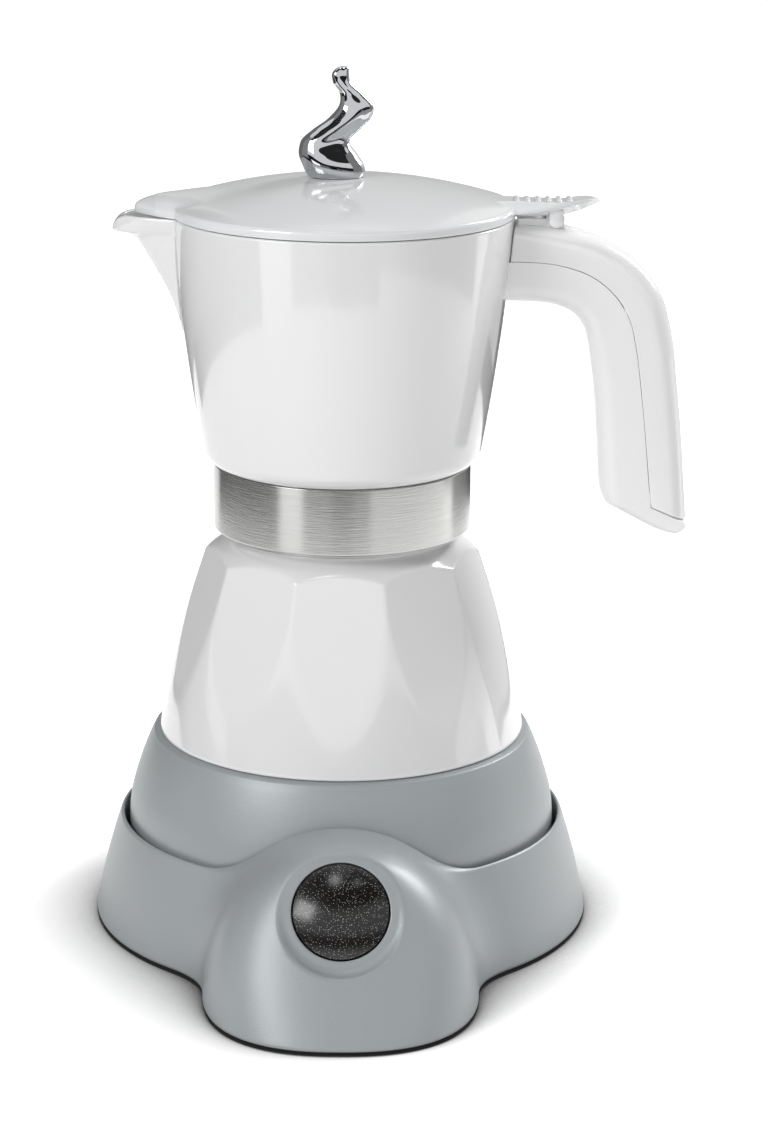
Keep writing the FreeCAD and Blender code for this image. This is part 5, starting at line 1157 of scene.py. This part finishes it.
# Curved cards that only reflections see, as round a table where metal is photographed: name,
# first and last bearing from the front in degrees, distance and height in metres of the near
# edge and of the far edge, and tone. The strips lie on the floor, where the band mirrors them.
CARDS = (
    ("card_left", -100, -64, 0.5, 0.13, 0.5, 0.7, 0.35),
    ("card_right", 60, 112, 0.5, 0.13, 0.5, 0.7, 0.3),
    ("card_left_edge", -165, -100, 0.6, 0.0, 0.6, 0.8, 0.22),
    ("card_right_edge", 112, 150, 0.6, 0.0, 0.6, 0.25, 0.6),
    ("card_back", 165, 195, 0.5, 0.13, 0.5, 0.7, 0.45),
    ("card_high", -75, 75, 0.9, 0.75, 0.3, 1.5, 0.03),
    ("card_front", -75, 75, 1.5, 0.002, 1.5, 0.3, 0.02),
    ("card_spark", 32, 50, 0.5, 0.95, 0.4, 1.02, 3.0),
    ("strip_left", -140, -56, 0.487, 0.002, 2.5, 0.002, 0.02),
    ("strip_mid", -34, 24, 0.51, 0.002, 1.5, 0.002, 0.22),
    ("strip_front", -9, 9, 0.495, 0.004, 1.5, 0.004, 0.0),
    ("strip_far", 24, 100, 0.6, 0.002, 1.5, 0.002, 0.45),
    ("strip_right", 112, 165, 0.487, 0.002, 2.0, 0.002, 0.03))
CARD_RUNS = 12
# Lamps: name, place and aim in metres, width and height, watts, and whether gloss mirrors it.
LAMPS = (
    ("key_softbox", (-0.86, -0.77, 0.84), (0, 0, 0.12), (0.55, 0.6), 8.2, True),
    ("front_softbox", (0.15, -1.35, 0.42), (0, 0, 0.12), (1.0, 0.7), 4.1, False),
    ("side_softbox", (0.815, 0.433, 0.72), (0, 0, 0.12), (0.4, 0.5), 8.4, True),
    ("top_softbox", (-0.12, -0.36, 1.15), (0, -0.05, 0.1), (0.22, 0.22), 0.9, True))
WORLD_LIGHT = 0.18
# The camera's place in metres, its turns in degrees, and its lens in millimetres.
CAMERA_AT = (0.0, -0.9009, 0.3568)
CAMERA_DOWN, CAMERA_ROLL, CAMERA_YAW = 15.6, 0.40, 0.78
CAMERA_LENS = 101.86


def pale_rays(tree):
    """One for rays from the camera, a mirror or glass, which see a pale background, else zero."""
    path = add(tree, "ShaderNodeLightPath")
    seen = path.outputs["Is Camera Ray"]
    for kind in ("Is Glossy Ray", "Is Transmission Ray"):
        seen = add(tree, "ShaderNodeMath", {0: seen, 1: path.outputs[kind]},
                   operation="MAXIMUM").outputs[0]
    return seen


def white_paper():
    # Matt white paper: it takes shadows, has a contact shadow painted in where the pot stands, and
    # glows white to the eye.
    material = bpy.data.materials.new("matt_white_paper")
    tree = emptied(material)
    lift = pale_rays(tree)
    # Painted contact shadow: near the pot, ambient occlusion darkens the paper's colour and its glow.
    near = add(tree, "ShaderNodeAmbientOcclusion", {"Distance": 0.045}, samples=12)
    shade = add(tree, "ShaderNodeMapRange", {0: near.outputs["AO"], 1: 0.5, 2: 0.93, 3: 0.02})
    place = add(tree, "ShaderNodeTexCoord").outputs["Object"]
    away = add(tree, "ShaderNodeVectorMath", {0: place}, operation="LENGTH")
    rise = add(tree, "ShaderNodeMapRange", {0: away.outputs["Value"], 1: 0.25, 2: 1.3, 3: 0.62})
    for share in (rise, shade):
        lift = add(tree, "ShaderNodeMath", {0: lift, 1: share.outputs[0]},
                   operation="MULTIPLY").outputs[0]
    paper = add(tree, "ShaderNodeMix", {0: shade.outputs[0], 6: (0, 0, 0, 1),
                                        7: (*tones()["backdrop"], 1)}, data_type="RGBA")
    matt = add(tree, "ShaderNodeBsdfDiffuse", {"Color": paper.outputs[2]})
    glow = add(tree, "ShaderNodeEmission", {"Color": (1, 1, 1, 1), "Strength": lift})
    both = add(tree, "ShaderNodeAddShader", {0: matt.outputs[0], 1: glow.outputs[0]})
    add(tree, "ShaderNodeOutputMaterial", {"Surface": both.outputs[0]})
    return material


def card_paint(name, level):
    # A card of one even tone, which gives gloss and metal something to mirror.
    material = bpy.data.materials.new(name)
    tree = emptied(material)
    shine = add(tree, "ShaderNodeEmission", {"Color": (level, level, level, 1)})
    add(tree, "ShaderNodeOutputMaterial", {"Surface": shine.outputs[0]})
    return material


def sheet(name, corners, faces, material):
    """A flat or curved sheet that belongs to the studio and not to the part."""
    mesh = bpy.data.meshes.new(name)
    mesh.from_pydata(corners, [], faces)
    mesh.materials.append(material)
    made = bpy.data.objects.new(name, mesh)
    bpy.context.scene.collection.objects.link(made)
    return made


def facing():
    """The camera's matrix: turned down from level, rolled about its line of sight, and swung
    round the upright."""
    down, roll, yaw = (math.radians(a) for a in (CAMERA_DOWN, CAMERA_ROLL, CAMERA_YAW))
    swing = np.array([[math.cos(yaw), math.sin(yaw), 0], [-math.sin(yaw), math.cos(yaw), 0],
                      [0, 0, 1]])
    c, r = math.cos(roll), math.sin(roll)
    right = swing @ np.array([c, r * math.sin(down), r * math.cos(down)])
    below = swing @ np.array([r, -c * math.sin(down), -c * math.cos(down)])
    ahead = swing @ np.array([0, math.cos(down), -math.sin(down)])
    rows = np.column_stack([right, -below, -ahead, CAMERA_AT])
    return Matrix([*rows.tolist(), [0, 0, 0, 1]])


class MOKA_OT_studio(bpy.types.Operator):
    """Sets up the pale floor, the soft lamps, the world and the camera"""

    bl_idname = "moka.studio"
    bl_label = "Studio"

    def execute(self, context):
        scene = context.scene
        scene.view_settings.view_transform = "Standard"
        sheet("floor", [(-4, -2, 0), (4, -2, 0), (4, 6, 0), (-4, 6, 0)], [(0, 1, 2, 3)],
              white_paper())
        world = bpy.data.worlds.new("studio_world")
        tree = emptied(world)
        level = add(tree, "ShaderNodeMapRange", {0: pale_rays(tree), 3: WORLD_LIGHT, 4: 1.0})
        back = add(tree, "ShaderNodeBackground", {"Color": (1, 1, 1, 1),
                                                  "Strength": level.outputs[0]})
        add(tree, "ShaderNodeOutputWorld", {"Surface": back.outputs[0]})
        scene.world = world
        for name, at, aim, size, power, mirrored in LAMPS:
            data = bpy.data.lights.new(name, "AREA")
            data.shape = "RECTANGLE"
            data.size, data.size_y = size
            data.energy = power
            lamp = bpy.data.objects.new(name, data)
            lamp.location = at
            way = np.array(aim, float) - np.array(at, float)
            lamp.rotation_euler = Vector(way).to_track_quat("-Z", "Y").to_euler()
            lamp.visible_glossy = mirrored
            scene.collection.objects.link(lamp)
        faces = [(i, i + 1, i + CARD_RUNS + 2, i + CARD_RUNS + 1) for i in range(CARD_RUNS)]
        for name, first, last, near, low, far, high, level in CARDS:
            turn = np.radians(np.linspace(first, last, CARD_RUNS + 1))
            way = np.column_stack([np.sin(turn), -np.cos(turn), 0 * turn])
            corners = np.concatenate([near * way + (0, 0, low), far * way + (0, 0, high)])
            card = sheet(name, corners.tolist(), faces, card_paint(name, level))
            card.visible_camera = card.visible_diffuse = card.visible_shadow = False
            card.visible_transmission = False
        data = bpy.data.cameras.new("camera")
        data.lens = CAMERA_LENS
        data.sensor_width = 36.0
        data.clip_start = 0.05
        camera = bpy.data.objects.new("camera", data)
        camera.matrix_world = facing()
        scene.collection.objects.link(camera)
        scene.camera = camera
        return {"FINISHED"}


class MOKA_PT_panel(bpy.types.Panel):
    """Sidebar panel that lists the pieces"""

    bl_idname = "MOKA_PT_panel"
    bl_label = "Moka pot"
    bl_space_type = "VIEW_3D"
    bl_region_type = "UI"
    bl_category = "Moka pot"

    def draw(self, context):
        for operator in OPERATORS:
            self.layout.operator(operator.bl_idname)


OPERATORS = (MOKA_OT_studio, MOKA_OT_base_shell, MOKA_OT_button, MOKA_OT_skirt, MOKA_OT_boiler,
             MOKA_OT_band, MOKA_OT_jug, MOKA_OT_handle, MOKA_OT_lid, MOKA_OT_knob,
             MOKA_OT_fittings)
CLASSES = (PotSizes, PotColours, *OPERATORS, MOKA_PT_panel)


def register():
    for kind in CLASSES:
        bpy.utils.register_class(kind)
    bpy.types.Scene.pot_sizes = bpy.props.PointerProperty(type=PotSizes)
    bpy.types.Scene.pot_colours = bpy.props.PointerProperty(type=PotColours)


def unregister():
    del bpy.types.Scene.pot_colours
    del bpy.types.Scene.pot_sizes
    for kind in reversed(CLASSES):
        bpy.utils.unregister_class(kind)


def main():
    register()
    for operator in OPERATORS:
        group, name = operator.bl_idname.split(".")
        getattr(getattr(bpy.ops, group), name)()


if __name__ == "__main__":
    main()
